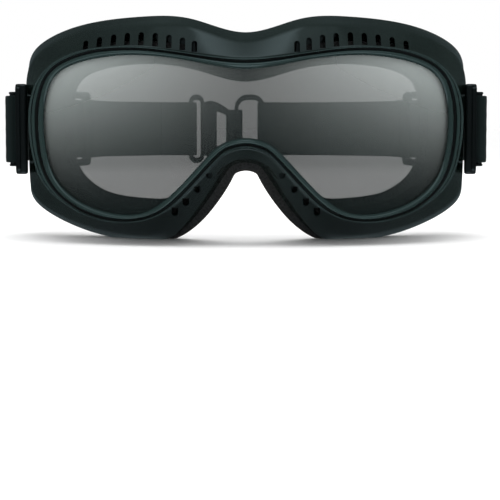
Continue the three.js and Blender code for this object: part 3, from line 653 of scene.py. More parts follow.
def bezel_sections(a):
    """Rolled crest next to the lens, deep groove, outer band scored by a thin line, and the side wall."""
    groove = np.minimum(CREST_MOST, CREST_WIDTH / a.lip)
    band = 1 - groove
    score = SCORE_DEPTH * np.clip((band * a.lip - SCORE_FROM) / (SCORE_FULL - SCORE_FROM), 0, 1)
    inner = inward(a.bezel, a.opening, WALL)

    def lip(share, lift):
        point = inward(a.bezel, a.opening, a.lip * (1 - share))
        return at(point, sag(point[:, 0]) + lift)

    return filleted([
        *[(lip(share * groove, lift), r) for share, lift, r in CREST],
        *[(lip(groove + share * band, lift + cut * score), r) for share, lift, cut, r in OUTER_BAND],
        (at(a.bezel, a.bezel_back), 0.4),
        (at(inner, a.bezel_back), 0.3),
        (at(inner, sag(inner[:, 0]) + SEAT_BACK + GAP), 0),
    ])


def paint_groove_shade(ring, spans):
    """Gives a ring's second material, the painted shade, to the strips between pairs of its section's
    corners.
    """
    size = len(ring.data.vertices) // ROUND
    strip = np.arange(len(ring.data.polygons)) % size
    second = np.zeros(len(strip), bool)
    for first, last in spans:
        second |= (strip >= (FILLET_STEPS + 1) * (first + 1) - 1) & (strip < (FILLET_STEPS + 1) * last)
    ring.data.polygons.foreach_set("material_index", second.astype(np.int32))


def lens_sections():
    """Upright strips of the lens from one temple to the other: up the front face, down the back face."""
    fine = Around(np.linspace(0, STATIONS / 2, 800))
    edge = inward(fine.opening, fine.bezel, LENS_OVERLAP)
    widest = int(np.argmax(edge[:, 0]))
    reach = edge[widest, 0] - 0.02
    x = reach * np.sin(np.linspace(-math.pi / 2, math.pi / 2, LENS_STRIPS))
    top = np.interp(np.abs(x), edge[: widest + 1, 0], edge[: widest + 1, 1])
    bottom = np.interp(np.abs(x), edge[: widest - 1 : -1, 0], edge[: widest - 1 : -1, 1])
    z = bottom[:, None] + (top - bottom)[:, None] * np.linspace(0, 1, LENS_ROWS)
    wide = np.broadcast_to(x[:, None], z.shape)

    def face(radius):
        y = LENS_SET_BACK + LENS_RADIUS - np.sqrt(radius**2 - x**2)
        return np.stack([wide, np.broadcast_to(y[:, None], z.shape), z], axis=-1)

    return np.concatenate([face(LENS_RADIUS), face(LENS_RADIUS - LENS_THICKNESS)[:, ::-1]], axis=1)


bezel = lofted("bezel_ring", bezel_sections(round_about))
lens = lofted("smoke_lens", lens_sections(), ring=False)

# ---------------- frame shell with its vents

SHELL_STEP = 0.6  # how far the flat round the bezel stands out past it
SHELL_EASE = 0.1  # slack behind the bezel
FLANGE = 1.6  # thickness
COLLAR_INNER_BACK = 2.4  # the inner wall's corners, behind the bezel's edge and the ridge, ahead of the rim
RIDGE_INNER_BACK = 1
RIM_INNER_AHEAD = 2.2

VENT_REACH = 0.62  # share of the way to the ridge that the middle slot takes
VENT_FALL, VENT_POWER = 0.022, 1.4  # how that falls off from slot to slot
VENT_FOOT = 0.9  # from the bezel's edge to the foot of a slot
VENT_AHEAD, VENT_BEHIND = 3, 4  # how far a cutter runs past the shell
BROW_END = 5  # station
LOWER_VENT_REACH, LOWER_VENT_WIDTH = 0.5, 2.2
ON_SURFACE = 2e-5  # m: nearer than this, a face lies on the uncut shell


def shell_sections(a):
    """Collar, shoulder out to the ridge, band back to the rim, flange behind the foam, and the inner wall."""
    collar_out = inward(a.bezel, a.opening, WALL + GAP)
    collar_in = inward(a.bezel, a.opening, 2 * WALL + GAP)
    step = inward(a.bezel, a.opening, -SHELL_STEP)
    ridge_in = inward(a.ridge, a.opening, SHELL_WALL)
    rim_in = inward(a.rim, a.opening, SHELL_WALL)
    flange_in = inward(a.rim, a.foam_opening, FLANGE_SHARE * a.foam_width)
    return resting(filleted([
        (at(collar_out, sag(collar_out[:, 0]) + COLLAR_FRONT), 0.3),
        (at(collar_out, a.bezel_back + GAP + SHELL_EASE), 0.2),
        (at(step, a.bezel_back + GAP + 2 * SHELL_EASE), 0.35),
        (at(a.ridge, a.ridge_depth), 1.3),
        (at(a.rim, a.rim_depth), 0.8),
        (at(flange_in, a.rim_depth), 0.4),
        (at(flange_in, a.rim_depth - FLANGE), 0.4),
        (at(rim_in, a.rim_depth - RIM_INNER_AHEAD), 1.2),
        (at(ridge_in, a.ridge_depth + RIDGE_INNER_BACK), 1.5),
        (at(collar_in, a.bezel_back + COLLAR_INNER_BACK), 0.8),
        (at(collar_in, sag(collar_in[:, 0]) + COLLAR_FRONT), 0.3),
    ]), REST_LEVEL)


def slot_cutter(station, share, width, upright):
    """Round-ended prism from the bezel's edge part of the way to the ridge, on both sides of the goggles."""
    a = Around([station])
    foot = inward(a.bezel, a.opening, -VENT_FOOT)[0]
    run = a.ridge[0] - foot
    length = np.linalg.norm(run) * share
    up = np.array([0, 1]) if upright else unit(run)
    side = np.array([up[1], -up[0]])
    outline = [(width / 2, 0), *arc((0, length - width / 2), width / 2, 0, 180), (-width / 2, 0)]
    points = np.array([foot + side * x + up * y for x, y in outline])
    ends = [at(points, y) for y in (a.bezel_back[0] - VENT_AHEAD, a.ridge_depth[0] + VENT_BEHIND)]
    right = lofted("cutter", np.stack(ends), ring=False)
    return [right, mirrored("cutter", right)]


def vent_cutters():
    brow = np.linspace(0, BROW_END, 2000)
    edge = Around(brow).bezel[:, 0]
    cutters = []
    for i, x in enumerate(VENT_X):
        reach = VENT_REACH - VENT_FALL * abs(i - len(VENT_X) // 2) ** VENT_POWER
        cutters += slot_cutter(np.interp(x, edge, brow), reach, VENT_WIDTH, True)
    for station in LOWER_VENTS:
        cutters += slot_cutter(station, LOWER_VENT_REACH, LOWER_VENT_WIDTH, False)
    return joined("vent_cutters", cutters)


def keep_polish(obj, whole):
    """Gives the uncut surface its smooth normals back after the slots are cut, for an unbroken gloss."""
    tree = BVHTree.FromObject(whole, bpy.context.evaluated_depsgraph_get())
    source = whole.data
    mesh = obj.data
    found = []
    for face in mesh.polygons:
        place, normal, index, _ = tree.find_nearest(face.center)
        own = (place - face.center).length < ON_SURFACE and abs(normal.dot(face.normal)) > 0.9
        for loop in face.loop_indices:
            if not own:
                found.append((0, 0, 0))
                continue
            point = mesh.vertices[mesh.loops[loop].vertex_index].co
            _, _, nearest, _ = tree.find_nearest(point)
            facet = source.polygons[nearest]
            corners = [source.vertices[v] for v in facet.vertices]
            nearness = [1 / ((c.co - point).length + 1e-7) for c in corners]
            blend = sum((c.normal * n for c, n in zip(corners, nearness)), Vector())
            flat = facet.normal
            blend.normalize()
            found.append(tuple(blend if blend.dot(flat) > 0.8 else flat))
    mesh.normals_split_custom_set(found)


shell = lofted("frame_shell_body", shell_sections(round_about))
cutters = vent_cutters()
cut = shell.modifiers.new("vents", "BOOLEAN")
cut.object = cutters
cut.operation = "DIFFERENCE"
cut.solver = "EXACT"
vented = baked(shell)
shell.modifiers.clear()
shell.data = vented
smooth(shell, 35)
bpy.data.objects.remove(cutters)
whole_shell = lofted("whole_shell", shell_sections(round_about))
keep_polish(shell, whole_shell)
bpy.data.objects.remove(whole_shell)

# ---------------- foam, lining and vent filters

FOAM_FILLET = 3
LINING_FILLETS = (0.3, FOAM_FILLET, 0.3)
LINING_UNDER = 0.1  # how far the lining's underside sinks into its gap
STRIP_INNER, STRIP_OUTER = 0.25, -0.35  # the edge strip's faces, in from the foam's wall
STRIP_BACK = 0.15
STRIP_SHARE = 0.34  # of the foam's thickness
UNEVEN_DEPTH, UNEVEN_SIZE = 0.45, 6.5
FILTER_THICKNESS, FILTER_BACK = 1.6, 0.7
FILTER_ROWS = 12
NOISE_LEVEL = 3.7  # where the noise is cut


def uneven(sections, depth, size, soft=1.0):
    """Pushes sections back and forth along y by noise of a size in mm, as cut foam is never quite even."""
    where = [Vector((x / size, NOISE_LEVEL, z / size)) for x, _, z in sections.reshape(-1, 3)]
    push = np.array([noise.fractal(point, 1, 2, 3) for point in where])
    sections[..., 1] += push.reshape(sections.shape[:2]) * depth * soft
    return sections


def soften(sections, a):
    """Bumpiness for the foam and its lining: none where they are glued to the flange, full at the crown."""
    height = (sections[..., 1] - a.rim_depth[:, None] - FOAM_GAP) / a.foam_thickness[:, None]
    return uneven(sections, UNEVEN_DEPTH, UNEVEN_SIZE, np.clip(height, 0, 1))


def over_foam(a, share, height, clear=0.0):
    """Points at shares of the foam's width and thickness, and a distance behind that."""
    depth = a.rim_depth + FOAM_GAP + clear + a.foam_thickness * height
    return at(inward(a.rim, a.foam_opening, share * a.foam_width), depth)


def foam_sections(a):
    """Straight outer wall, crowned face towards the skin, rounded inner edge, and the back on the flange."""
    edge = inward(a.rim, a.foam_opening, -a.foam_proud)
    base = a.rim_depth + FOAM_GAP
    return resting(filleted([
        (at(edge, base), 0.5),
        (at(edge, base + a.foam_thickness * 0.7), 1.6),
        *[(over_foam(a, share, height), FOAM_FILLET) for share, height in FOAM_CROWN],
        (over_foam(a, 1, 0.45), 1.8),
        (over_foam(a, 1, 0), 0.8),
        (over_foam(a, FLANGE_SHARE, 0), 0.3),
    ]))


def edge_strip_sections(a):
    """Thin glued strip round the foam's outer wall, next to the rim."""
    base = a.rim_depth + FOAM_GAP
    inner, outer = (inward(a.rim, a.foam_opening, face - a.foam_proud) for face in (STRIP_INNER, STRIP_OUTER))
    height = a.foam_thickness * STRIP_SHARE
    return resting(filleted([
        (at(inner, base + STRIP_BACK), 0.1),
        (at(outer, base + STRIP_BACK), 0.25),
        (at(outer, base + height), 0.25),
        (at(inner, base + height), 0.1),
    ], 3))


def lining_sections(a):
    """Thin layer over the foam's crown."""
    under, over = (
        [(over_foam(a, *crown, GAP + lift), fillet) for crown, fillet in zip(FOAM_CROWN, LINING_FILLETS)]
        for lift in (-LINING_UNDER, LINING)
    )
    return resting(filleted([*under, *over[::-1]]))


def filter_strip(name, start, end, share):
    """Foam strip just behind the slots, with a slightly lumpy face."""
    a = Around(np.linspace(start, end, 60))
    low = at(inward(a.bezel, a.opening, 2 * WALL + GAP), a.bezel_back + COLLAR_INNER_BACK)
    high = at(inward(a.ridge, a.opening, SHELL_WALL), a.ridge_depth + RIDGE_INNER_BACK)
    front = [low + (high - low) * s + (0, FILTER_BACK, 0) for s in np.linspace(0.12, share, FILTER_ROWS)]
    back = [row + (0, FILTER_THICKNESS, 0) for row in front[::-1]]
    return lofted(name, uneven(np.stack([*front, *back], axis=1), 0.18, 1.8), ring=False)


foam = lofted("seal_foam_ring", soften(foam_sections(round_about), round_about))
edge_strip = lofted("foam_edge_strip", edge_strip_sections(round_about))
lining = lofted("face_lining_ring", soften(lining_sections(round_about), round_about))
brow_filter = filter_strip("brow_filter_left", 1.15, 3.3, 0.6)
nose_filter = filter_strip("nose_filter_left", 11.1, 12.9, 0.8)

# ---------------- strap brackets

BRACKET_REAR = 70
BRACKET_HALF = 17
BRACKET_CORNER = 2.4
BRACKET_ROOT, BRACKET_INNER, BRACKET_OUTER = 82.7, 85.1, 87
PASSAGE_FRONT, PASSAGE_HALF = 54.5, 13.3
EAR_RADIUS, EAR_LOW, EAR_HIGH, NECK_INNER = 1.5, 13.2, 14.2, 85.6
BAR_LENGTH = 28


def rod(name, radius, low, high):
    """An upright round bar with rounded ends, on the axis of the bracket's bar."""
    ends = [(0.6, 0), (0.93, 0.1), (1, 0.35)]
    profile = [(share, low + z) for share, z in ends] + [(share, high - z) for share, z in ends[::-1]]
    circle = arc((0, 0), radius, 0, 360, 32)[:-1]
    sections = [[(BAR_X + share * x, BAR_Y + share * y, z) for x, y in circle] for share, z in profile]
    return lofted(name, np.array(sections), ring=False)


def strap_bracket():
    """Flat loop with a thick front bar, open to the rear, and two ears that hold the webbing's bar."""
    front, rear, inner = BRACKET_FRONT, BRACKET_REAR, PASSAGE_HALF
    outer = rounded_rectangle((front, -BRACKET_HALF), (rear, BRACKET_HALF), BRACKET_CORNER)
    passage = [(rear, inner), *arc((PASSAGE_FRONT + 1, inner - 1), 1, 90, 180, 5),
               *arc((PASSAGE_FRONT + 1, 1 - inner), 1, 180, 270, 5), (rear, -inner)]
    split = next(i for i, p in enumerate(outer) if p[1] > inner)
    outline = [*outer[split:], *outer[:split], *passage[::-1]]
    across = (BRACKET_INNER + BRACKET_OUTER) / 2
    loop = plate("loop", outline, [], BRACKET_OUTER - BRACKET_INNER, 0.45)
    reshaped(loop, lambda co: np.stack([across + co[:, 2], co[:, 0], co[:, 1]], axis=1))
    front_bar = block("front_bar", (BRACKET_ROOT, front + GAP, -BRACKET_HALF),
                      (BRACKET_OUTER - GAP, PASSAGE_FRONT - GAP, BRACKET_HALF), 0.9)
    parts = [loop, front_bar, rod("bar", BAR_RADIUS, -BAR_LENGTH / 2, BAR_LENGTH / 2)]
    for low, high in ((-EAR_HIGH, -EAR_LOW), (EAR_LOW, EAR_HIGH)):
        parts.append(rod("ear", EAR_RADIUS, low, high))
        neck_low, neck_high = (NECK_INNER, BAR_Y - EAR_RADIUS, low), (BAR_X, BAR_Y + EAR_RADIUS, high)
        parts.append(block("neck", neck_low, neck_high, 0.25))
    return joined("bracket_left", parts)


bracket = strap_bracket()

# ---------------- webbing

SWELL = 0.06  # share of the webbing's thickness by which its cords stand out
SELVEDGE = 0.5
SELVEDGE_SKIN, SELVEDGE_EDGE = 0.72, 0.12  # share of the thickness, and how far in that is
FOLD_END = 22  # where the sewn end of the fold round the bracket's bar lies
TAKE_UP = 26  # webbing behind the bracket's fold that shortens as the sliders are moved
PAST_SLIDER = 14  # from the slider to the end of the side strap
CLASP_FOLD = 16  # webbing doubled back at the clasp
RETURN_GAP = 0.5
TAIL = 9  # free end of the return layer
FRONT_SEAM, REAR_SEAM = 15, 12  # from the bars
SEAM_MARGIN, ROW_GAP = 1.6, 2.4
STITCH = 2.1
STITCH_OUT, STITCH_ALONG, STITCH_SHARE = 0.17, 0.24, 0.42  # half sizes, the last as a share of the stitch
DOUBLED = RETURN_WEBBING / 2 + WEBBING / 2 + GAP
BEHIND_BAR = -WEBBING - GAP
CENTRE_BAR_LIFT = SLIDER_END_LIFT - SLIDER_BOW


def arc_lengths(points):
    return np.append(0, np.cumsum(np.linalg.norm(np.diff(points, axis=0), axis=1)))


def outer_side(tangent):
    """The side of a plan direction that faces away from the head."""
    return np.stack([tangent[..., 1], -tangent[..., 0]], axis=-1)


def strap_path():
    """Points along the webbing's outer layer in plan: a centripetal Catmull-Rom curve, with arc lengths."""
    plan = np.array(STRAP_PLAN, float)
    plan = np.vstack([2 * plan[0] - plan[1], plan, 2 * plan[-1] - plan[-2]])
    points = []
    for p0, p1, p2, p3 in zip(plan, plan[1:], plan[2:], plan[3:]):
        d0, d1, d2 = (math.sqrt(np.linalg.norm(b - a)) for a, b in ((p0, p1), (p1, p2), (p2, p3)))
        m1 = ((p1 - p0) / d0 - (p2 - p0) / (d0 + d1) + (p2 - p1) / d1) * d1
        m2 = ((p2 - p1) / d1 - (p3 - p1) / (d1 + d2) + (p3 - p2) / d2) * d1
        t = np.linspace(0, 1, 300, endpoint=False)[:, None]
        points.append((2 * t**3 - 3 * t**2 + 1) * p1 + (t**3 - 2 * t**2 + t) * m1
                      + (3 * t**2 - 2 * t**3) * p2 + (t**3 - t**2) * m2)
    points = np.vstack([*points, plan[-2:-1]])
    return points, arc_lengths(points)


strap_points, strap_lengths = strap_path()
strap_tangents = unit(np.gradient(strap_points, strap_lengths, axis=0))


def along_strap(distance):
    """Middle of the outer layer and its direction, at distances in mm from the bracket's bar."""
    return [
        np.stack([np.interp(distance, strap_lengths, v) for v in values.T], axis=-1)
        for values in (strap_points, strap_tangents)
    ]


def layer(start, end, lift):
    """A line that follows the strap between two distances, moved out (+) or in (-).

    lift is in mm, or a function of the share of the way.
    """
    share = np.linspace(0, 1, max(8, round(abs(end - start))))
    point, tangent = along_strap(start + (end - start) * share)
    height = lift(share) if callable(lift) else np.full(len(share), lift)
    return point + outer_side(tangent) * height[:, None]


def eased(from_lift, to_lift):
    return lambda share: from_lift + (to_lift - from_lift) * share**2 * (3 - 2 * share)


def distance_where(reached):
    return strap_lengths[np.argmax([reached(p) for p in strap_points])]


half_way_at = FOLD_END + TAKE_UP
slider_at = distance_where(lambda p: p[1] > SLIDER_Y)
run_end = slider_at + PAST_SLIDER


def web(name, line, thickness, start):
    """Flat webbing that follows a line in plan: soft selvedges, and a UV map of mm along and across it.

    start is how far along the webbing the line begins, so that the weave runs on from piece to piece.
    """
    line = line[np.append(True, np.linalg.norm(np.diff(line, axis=0), axis=1) > 1e-3)]
    out = outer_side(unit(np.gradient(line, axis=0)))
    half, skin = WEBBING_WIDTH / 2, thickness / 2
    across = np.linspace(SELVEDGE - half, half - SELVEDGE, 15)
    swell = 1 + SWELL * np.cos(across / half * math.pi * 5)
    lip, edge = skin * SELVEDGE_SKIN, half - SELVEDGE_EDGE
    outer = [*zip(skin * swell, across), (lip, edge), (0, half), (-lip, edge)]
    profile = np.array(outer + [(-lift, -z) for lift, z in outer])
    sections = [np.column_stack([line + out * lift, np.full(len(line), z)]) for lift, z in profile]
    obj = lofted(name, np.stack(sections, axis=1), ring=False)
    run = start + arc_lengths(line)
    uv = np.stack(np.broadcast_arrays(run[:, None], profile[None, :, 1]), axis=-1).reshape(-1, 2)
    loops = np.empty(len(obj.data.loops), np.int32)
    obj.data.loops.foreach_get("vertex_index", loops)
    obj.data.uv_layers.new(name="weave").data.foreach_set("uv", uv[loops].ravel().astype(np.float32))
    return obj


def seam(name, distance, lift, rows=1):
    """Rows of raised stitches straight across the webbing, at a distance along it."""
    work = bmesh.new()
    half = WEBBING_WIDTH / 2 - SEAM_MARGIN
    count = int(2 * half / STITCH)
    for row in range(rows):
        point, tangent = along_strap(distance + ROW_GAP * row)
        out = outer_side(tangent)
        for k in range(count):
            centre = np.array([*(point + out * lift), -half + (k + 0.5) * 2 * half / count])
            grown = bmesh.ops.create_uvsphere(work, u_segments=10, v_segments=7, radius=1)
            for vertex in grown["verts"]:
                x, y, z = vertex.co
                flat = out * x * STITCH_OUT + tangent * y * STITCH_ALONG
                vertex.co = Vector(to_row(centre + (*flat, z * STITCH * STITCH_SHARE)))
    return smooth(built(name, work), 180)


def strap_half(side, bar_x):
    """One side's webbing by part, drawn on the wearer's left, and how far along it meets its clasp bar."""
    turn = arc((BAR_X, BAR_Y), FOLD_RADIUS, -180, 0, 20)
    inner = layer(FOLD_END, 0.5, eased(BEHIND_BAR, -2 * FOLD_RADIUS))
    front = np.vstack([inner, turn[1:-1], layer(0.5, half_way_at, 0)])
    bar_at = distance_where(lambda p: p[0] < bar_x)
    clasp_turn = arc((bar_x, CLASP_Y), FOLD_RADIUS, 90, 270, 20)
    clasp_inner = layer(bar_at, bar_at - CLASP_FOLD, eased(-2 * FOLD_RADIUS, BEHIND_BAR))
    rear = np.vstack([layer(run_end, bar_at, 0), clasp_turn[1:-1], clasp_inner])
    point, tangent = along_strap(slider_at)
    centre = point + outer_side(tangent) * CENTRE_BAR_LIFT
    outward_angle = math.degrees(math.atan2(-tangent[0], tangent[1]))
    wrap = arc(centre, RETURN_FOLD, outward_angle, outward_angle - 180, 20)
    tail = layer(slider_at, slider_at + TAIL, CENTRE_BAR_LIFT - RETURN_FOLD)
    back = np.vstack([layer(bar_at - CLASP_FOLD - RETURN_GAP, slider_at, -DOUBLED)[:-1], wrap, tail[1:]])
    pieces = {
        "front": web(f"webbing_front_{side}", front, WEBBING, -FOLD_END - math.pi * FOLD_RADIUS),
        "middle": web(f"webbing_middle_{side}", layer(half_way_at, run_end, 0), WEBBING, half_way_at),
        "rear": web(f"webbing_rear_{side}", rear, WEBBING, run_end),
        "return": web(f"webbing_return_{side}", back, RETURN_WEBBING, 0),
        "front_seam": seam(f"stitches_front_{side}", FRONT_SEAM, WEBBING / 2, rows=2),
        "rear_seam": seam(f"stitches_rear_{side}", bar_at - REAR_SEAM, WEBBING / 2),
    }
    return pieces, bar_at


left_webbing, ring_at = strap_half("left", RING_BAR_X)
right_drawn, hook_at = strap_half("drawn", -HOOK_BAR_X)
right_webbing = {}
for part, drawn in right_drawn.items():
    right_webbing[part] = mirrored(drawn.name.replace("drawn", "right"), drawn)
    bpy.data.objects.remove(drawn)

# ---------------- sliders and rear clasp

LOBE_X, LOBE_Z, LOBE_RADIUS = 4.4, 11.4, 5
SLOT_NEAR, SLOT_FAR, SLOT_HALF, SLOT_CORNER = 0.8, 7.6, 13.4, 2.4
SLIDER_HALF = 8.8
SLIDER_STRAIGHT = 7.4  # from the centre bar to where the bow ends
CLASP_WINDOW = 13.8  # half the height of the clasp's windows
CLASP_BEVEL = 0.6
HOOK_LOOP_END, HOOK_WINDOW_END = -20.6, -22.3
HOOK_THICKNESS, HOOK_BEVEL = 1.4, 0.35
HOOK_PLAN = [
    # x, distance behind the clasp's plane
    (HOOK_WINDOW_END, 0), (-12.2, 0), (-11, 0.15), (-10, 0.8), (-9.2, 1.6), (-8.2, 2.05), (-7, 2.1),
    (-3.9, 2.1), (-3.1, 1.8), (-2.85, 1.1), (-2.8, -0.4),
]
HOOK_EDGE = [
    # distance along the plan, half height
    (0, 11.5), (2, 12.9), (5, 13.6), (8.3, 12.6), (10.6, 11.2), (13.6, 9.2),
]
HOOK_TIP = [(-1, 9.2), (0, 8.2)]  # the same, from the plan's end
HOOK_WINDOW = [(7.8, -8.4), (12.5, -6.6), (12.9, -6), (12.9, 6), (12.5, 6.6), (7.8, 8.4)]


def slider_plate():
    """Figure-of-eight plate with two windows, bowed so that its centre bar lies below its end bars."""
    waist = math.degrees(math.acos(LOBE_X / LOBE_RADIUS))
    outline = [
        *arc((LOBE_X, LOBE_Z), LOBE_RADIUS, 0, 180 - waist, 24),
        *arc((-LOBE_X, LOBE_Z), LOBE_RADIUS, waist, 180, 24),
        *arc((-LOBE_X, -LOBE_Z), LOBE_RADIUS, 180, 360 - waist, 24),
        *arc((LOBE_X, -LOBE_Z), LOBE_RADIUS, 180 + waist, 360, 24),
    ]
    windows = [
        rounded_rectangle((low, -SLOT_HALF), (low + SLOT_FAR - SLOT_NEAR, SLOT_HALF), SLOT_CORNER)
        for low in (-SLOT_FAR, SLOT_NEAR)
    ]
    cuts = np.linspace(-SLIDER_HALF, SLIDER_HALF, 37)
    made = plate("slider", outline, windows, SLIDER_THICKNESS, 0.5, cuts)
    middle, tangent = along_strap(slider_at)

    def bowed(co):
        share = np.minimum(np.abs(co[:, 0]) / SLIDER_STRAIGHT, 1)
        lift = co[:, 2] + SLIDER_END_LIFT - SLIDER_BOW * np.cos(share * math.pi / 2) ** 2
        plan = middle + tangent * co[:, :1] + outer_side(tangent) * lift[:, None]
        return np.column_stack([plan, co[:, 1]])

    return reshaped(made, bowed)


def clasp_loop(name, outer, inner, outer_corner, inner_corner):
    """Upright loop in the clasp's plane, between two x values, with a window between two others."""
    outline = rounded_rectangle((outer[0], -CLASP_HEIGHT), (outer[1], CLASP_HEIGHT), outer_corner)
    window = rounded_rectangle((inner[0], -CLASP_WINDOW), (inner[1], CLASP_WINDOW), inner_corner)
    made = plate(name, outline, [window], 2 * CLASP_HALF, CLASP_BEVEL)
    return reshaped(made, lambda co: np.stack([co[:, 0], CLASP_Y + co[:, 2], co[:, 1]], axis=1))


def hook_plate():
    """Hook half of the clasp: a loop for the webbing, and a plate that steps out over the catch bar."""
    outer, inner = (HOOK_BAR_X - CLASP_HALF, HOOK_LOOP_END), (HOOK_BAR_X + CLASP_HALF, HOOK_WINDOW_END)
    loop = clasp_loop("loop", outer, inner, 3.5, 1.6)
    plan = np.array(HOOK_PLAN)
    lengths = arc_lengths(plan)
    total = lengths[-1]
    edge = HOOK_EDGE + [(total + s, z) for s, z in HOOK_TIP]
    outline = [(s, -z) for s, z in edge] + edge[::-1]
    cuts = np.linspace(0.5, total - 0.3, 34)
    tongue = plate("tongue", outline, [HOOK_WINDOW], HOOK_THICKNESS, HOOK_BEVEL, cuts)

    def along_plan(distance):
        return np.stack([np.interp(distance, lengths, values) for values in plan.T], axis=1)

    def bent(co):
        tangent = unit(along_plan(co[:, 0] + 0.4) - along_plan(co[:, 0] - 0.4))
        place = along_plan(co[:, 0]) - outer_side(tangent) * co[:, 2:]
        return np.stack([place[:, 0], CLASP_Y + place[:, 1], co[:, 1]], axis=1)

    return joined("clasp_hook_plate", [loop, reshaped(tongue, bent)])


slider = slider_plate()
ring_outer = (CATCH_BAR_X - CLASP_HALF, RING_BAR_X + CLASP_HALF)
ring_inner = (CATCH_BAR_X + CLASP_HALF, RING_BAR_X - CLASP_HALF)
clasp_ring = clasp_loop("clasp_ring", ring_outer, ring_inner, 6.5, 4.2)
clasp_hook = hook_plate()

# ---------------- finishes, and which body each piece rides on


def place(obj, material, slot, body, *nodes):
    finished(obj, material)
    if nodes:
        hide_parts(*nodes)
    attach(obj, body)


for made, material, slot, *nodes in [
    (bezel, BEZEL_GLOSS, "bezel_gloss", "lens_bezel"),
    (lens, LENS_SMOKE, "lens_smoke", "lens"),
    (shell, FRAME_GLOSS, "frame_gloss", "frame_shell"),
    (foam, SEAL_FOAM, "seal_foam", "face_foam"),
    (edge_strip, EDGE_FOAM, "seal_foam"),
    (lining, FLEECE, "lining_fleece", "face_lining"),
]:
    place(made, material, slot, "goggle_frame", *nodes)
# the bezel's groove and scored line get the painted shade
bezel.data.materials.append(GROOVE_PAINTED_SHADE)
paint_groove_shade(bezel, PAINTED_SHADE_STRIPS)
for name, made in {"brow": brow_filter, "nose": nose_filter}.items():
    twin = mirrored(f"{name}_filter_right", made)
    place(twin, VENT_FOAM, "vent_foam", "goggle_frame", f"{name}_vent_filter_right")
    place(made, VENT_FOAM, "vent_foam", "goggle_frame", f"{name}_vent_filter_left")
right_bracket = mirrored("bracket_right", bracket)
place(right_bracket, BRACKET_GLOSS, "bracket_gloss", "goggle_frame", "strap_bracket_right")
place(bracket, BRACKET_GLOSS, "bracket_gloss", "goggle_frame", "strap_bracket_left")
place(mirrored("slider_plate_right", slider), BUCKLE, "buckle_black", "slider_right", "slider_right")
slider.name = "slider_plate_left"
place(slider, BUCKLE, "buckle_black", "slider_left", "slider_left")
place(clasp_ring, BUCKLE, "buckle_black", "rear_strap", "rear_ring")
place(clasp_hook, BUCKLE, "buckle_black", "rear_hook", "rear_hook")

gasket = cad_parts["lens_gasket"]
gasket.data.materials.clear()
gasket.data.materials.append(RUBBER)


for side, webbing, clasp_at in ((1, left_webbing, ring_at), (-1, right_webbing, hook_at)):
    hand = "left" if side > 0 else "right"
    for part, obj in webbing.items():
        finished(obj, THREAD if part.endswith("seam") else WEBBING_TWILL)
    for part, node in {"front": "end", "middle": "side", "rear": "rear", "return": "return"}.items():
        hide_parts(f"strap_{node}_{hand}")
    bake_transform(webbing["front"])
    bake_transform(webbing["middle"])
    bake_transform(webbing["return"])
    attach(webbing["rear"], "rear_strap")
    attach(webbing["front_seam"], "goggle_frame")
    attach(webbing["rear_seam"], "rear_strap")

# ---------------- floor, light and world, in metres

FLOOR_REACH = 30
GOGGLES_MIDDLE = (0, -0.06, 0.04)
NEUTRAL = (1, 1, 1)
SOFT_STRENGTH = 1.12
TENT_COLOUR = (0.72, 0.94, 1.0)
TENT_FRONT, TENT_UPPER, TENT_LOWER = 0.09, 1.3, 1.3  # strength ahead of the lens: level, above and below
TENT_REST, TENT_OVERHEAD = 0.07, 0.22
TENT_BREAK = 0.25  # share of the light left in the breaks either side of the middle
AHEAD = (0.0, -0.6)  # y of the directions where the front begins, and where it is at full strength
UPPER, LOWER, OVERHEAD = (0.50, 0.60), (-0.30, -0.42), (0.6, 0.97)  # the same for z
BREAK_INNER, BREAK_OUTER = (0.12, 0.24), (0.42, 0.52)  # the same for the breaks and x, to either side

floor_mesh = bpy.data.meshes.new("floor")
corners = [(x * FLOOR_REACH, y * FLOOR_REACH, 0) for x, y in ((-1, -1), (1, -1), (1, 1), (-1, 1))]
floor_mesh.from_pydata(corners, [], [(0, 1, 2, 3)])
floor = link("floor", floor_mesh)
paper = Shader("pale_paper", **{"Roughness": 0.9, "Specular IOR Level": 0.1})
fibres = paper.noise(paper.place(), 60, 3)
paper.set(paper.surface, {"Base Color": paper.ramp(fibres, (0.3, 0.90), (0.7, 0.93))})
floor.data.materials.append(paper.material)
floor.visible_glossy = False


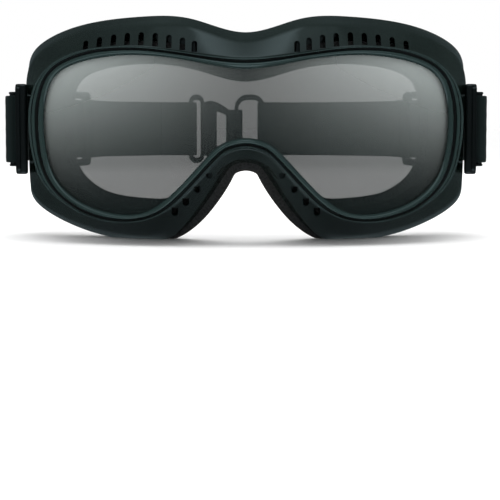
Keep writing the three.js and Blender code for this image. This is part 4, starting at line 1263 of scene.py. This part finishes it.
def softbox(name, location, size, power):
    """A soft rectangle of light aimed at the goggles, which their gloss doesn't mirror."""
    light = bpy.data.lights.new(name, "AREA")
    light.shape = "RECTANGLE"
    light.size, light.size_y = size
    light.energy = power
    obj = link(name, light)
    obj.location = location
    obj.rotation_euler = (Vector(GOGGLES_MIDDLE) - Vector(location)).to_track_quat("-Z", "Y").to_euler()
    obj.visible_glossy = False


softbox("top_softbox", (0, -0.15, 0.8), (0.9, 0.6), 3)
softbox("left_softbox", (-0.85, -0.3, 0.35), (0.7, 0.7), 2)
softbox("right_softbox", (0.85, -0.3, 0.35), (0.7, 0.7), 2)
softbox("back_softbox", (0, 0.8, 0.6), (1.2, 0.5), 3)


def studio_world():
    """White all round for the eye and for soft light; a dim studio with a pale front for reflections."""
    world = bpy.data.worlds.new("studio")
    world.use_nodes = True
    world.node_tree.nodes.clear()
    w = Nodes(world.node_tree)
    split = w.node("SeparateXYZ", {0: w.node("TexCoord").outputs["Generated"]})
    x, y, z = (split.outputs[axis] for axis in range(3))

    def edge(value, span, low, high):
        return w.span(value, *span, low, high, interpolation_type="SMOOTHSTEP")

    def background(colour, strength):
        return w.node("Background", {"Color": rgb(colour), "Strength": strength}).outputs[0]

    def choice(ray, other, chosen):
        share = w.node("LightPath").outputs[ray]
        return w.node("MixShader", {0: share, 1: other, 2: chosen}).outputs[0]

    level = w.plus(edge(z, UPPER, 0.0, TENT_UPPER), edge(z, LOWER, 0.0, TENT_LOWER))
    aside = w.math("ABSOLUTE", x)
    middle, outer = edge(aside, BREAK_INNER, 1.0, TENT_BREAK), edge(aside, BREAK_OUTER, 0.0, 1.0 - TENT_BREAK)
    level = w.times(w.plus(TENT_FRONT, level), w.plus(middle, outer))
    front = w.times(edge(y, AHEAD, 0.0, 1.0), level)
    total = w.plus(front, edge(z, OVERHEAD, TENT_REST, TENT_OVERHEAD))
    unseen = choice("Is Glossy Ray", background(NEUTRAL, SOFT_STRENGTH), background(TENT_COLOUR, total))
    seen = choice("Is Camera Ray", unseen, background(NEUTRAL, 1.0))
    w.node("OutputWorld", {"Surface": seen})
    bpy.context.scene.world = world


studio_world()
bpy.context.scene.view_settings.view_transform = "Standard"
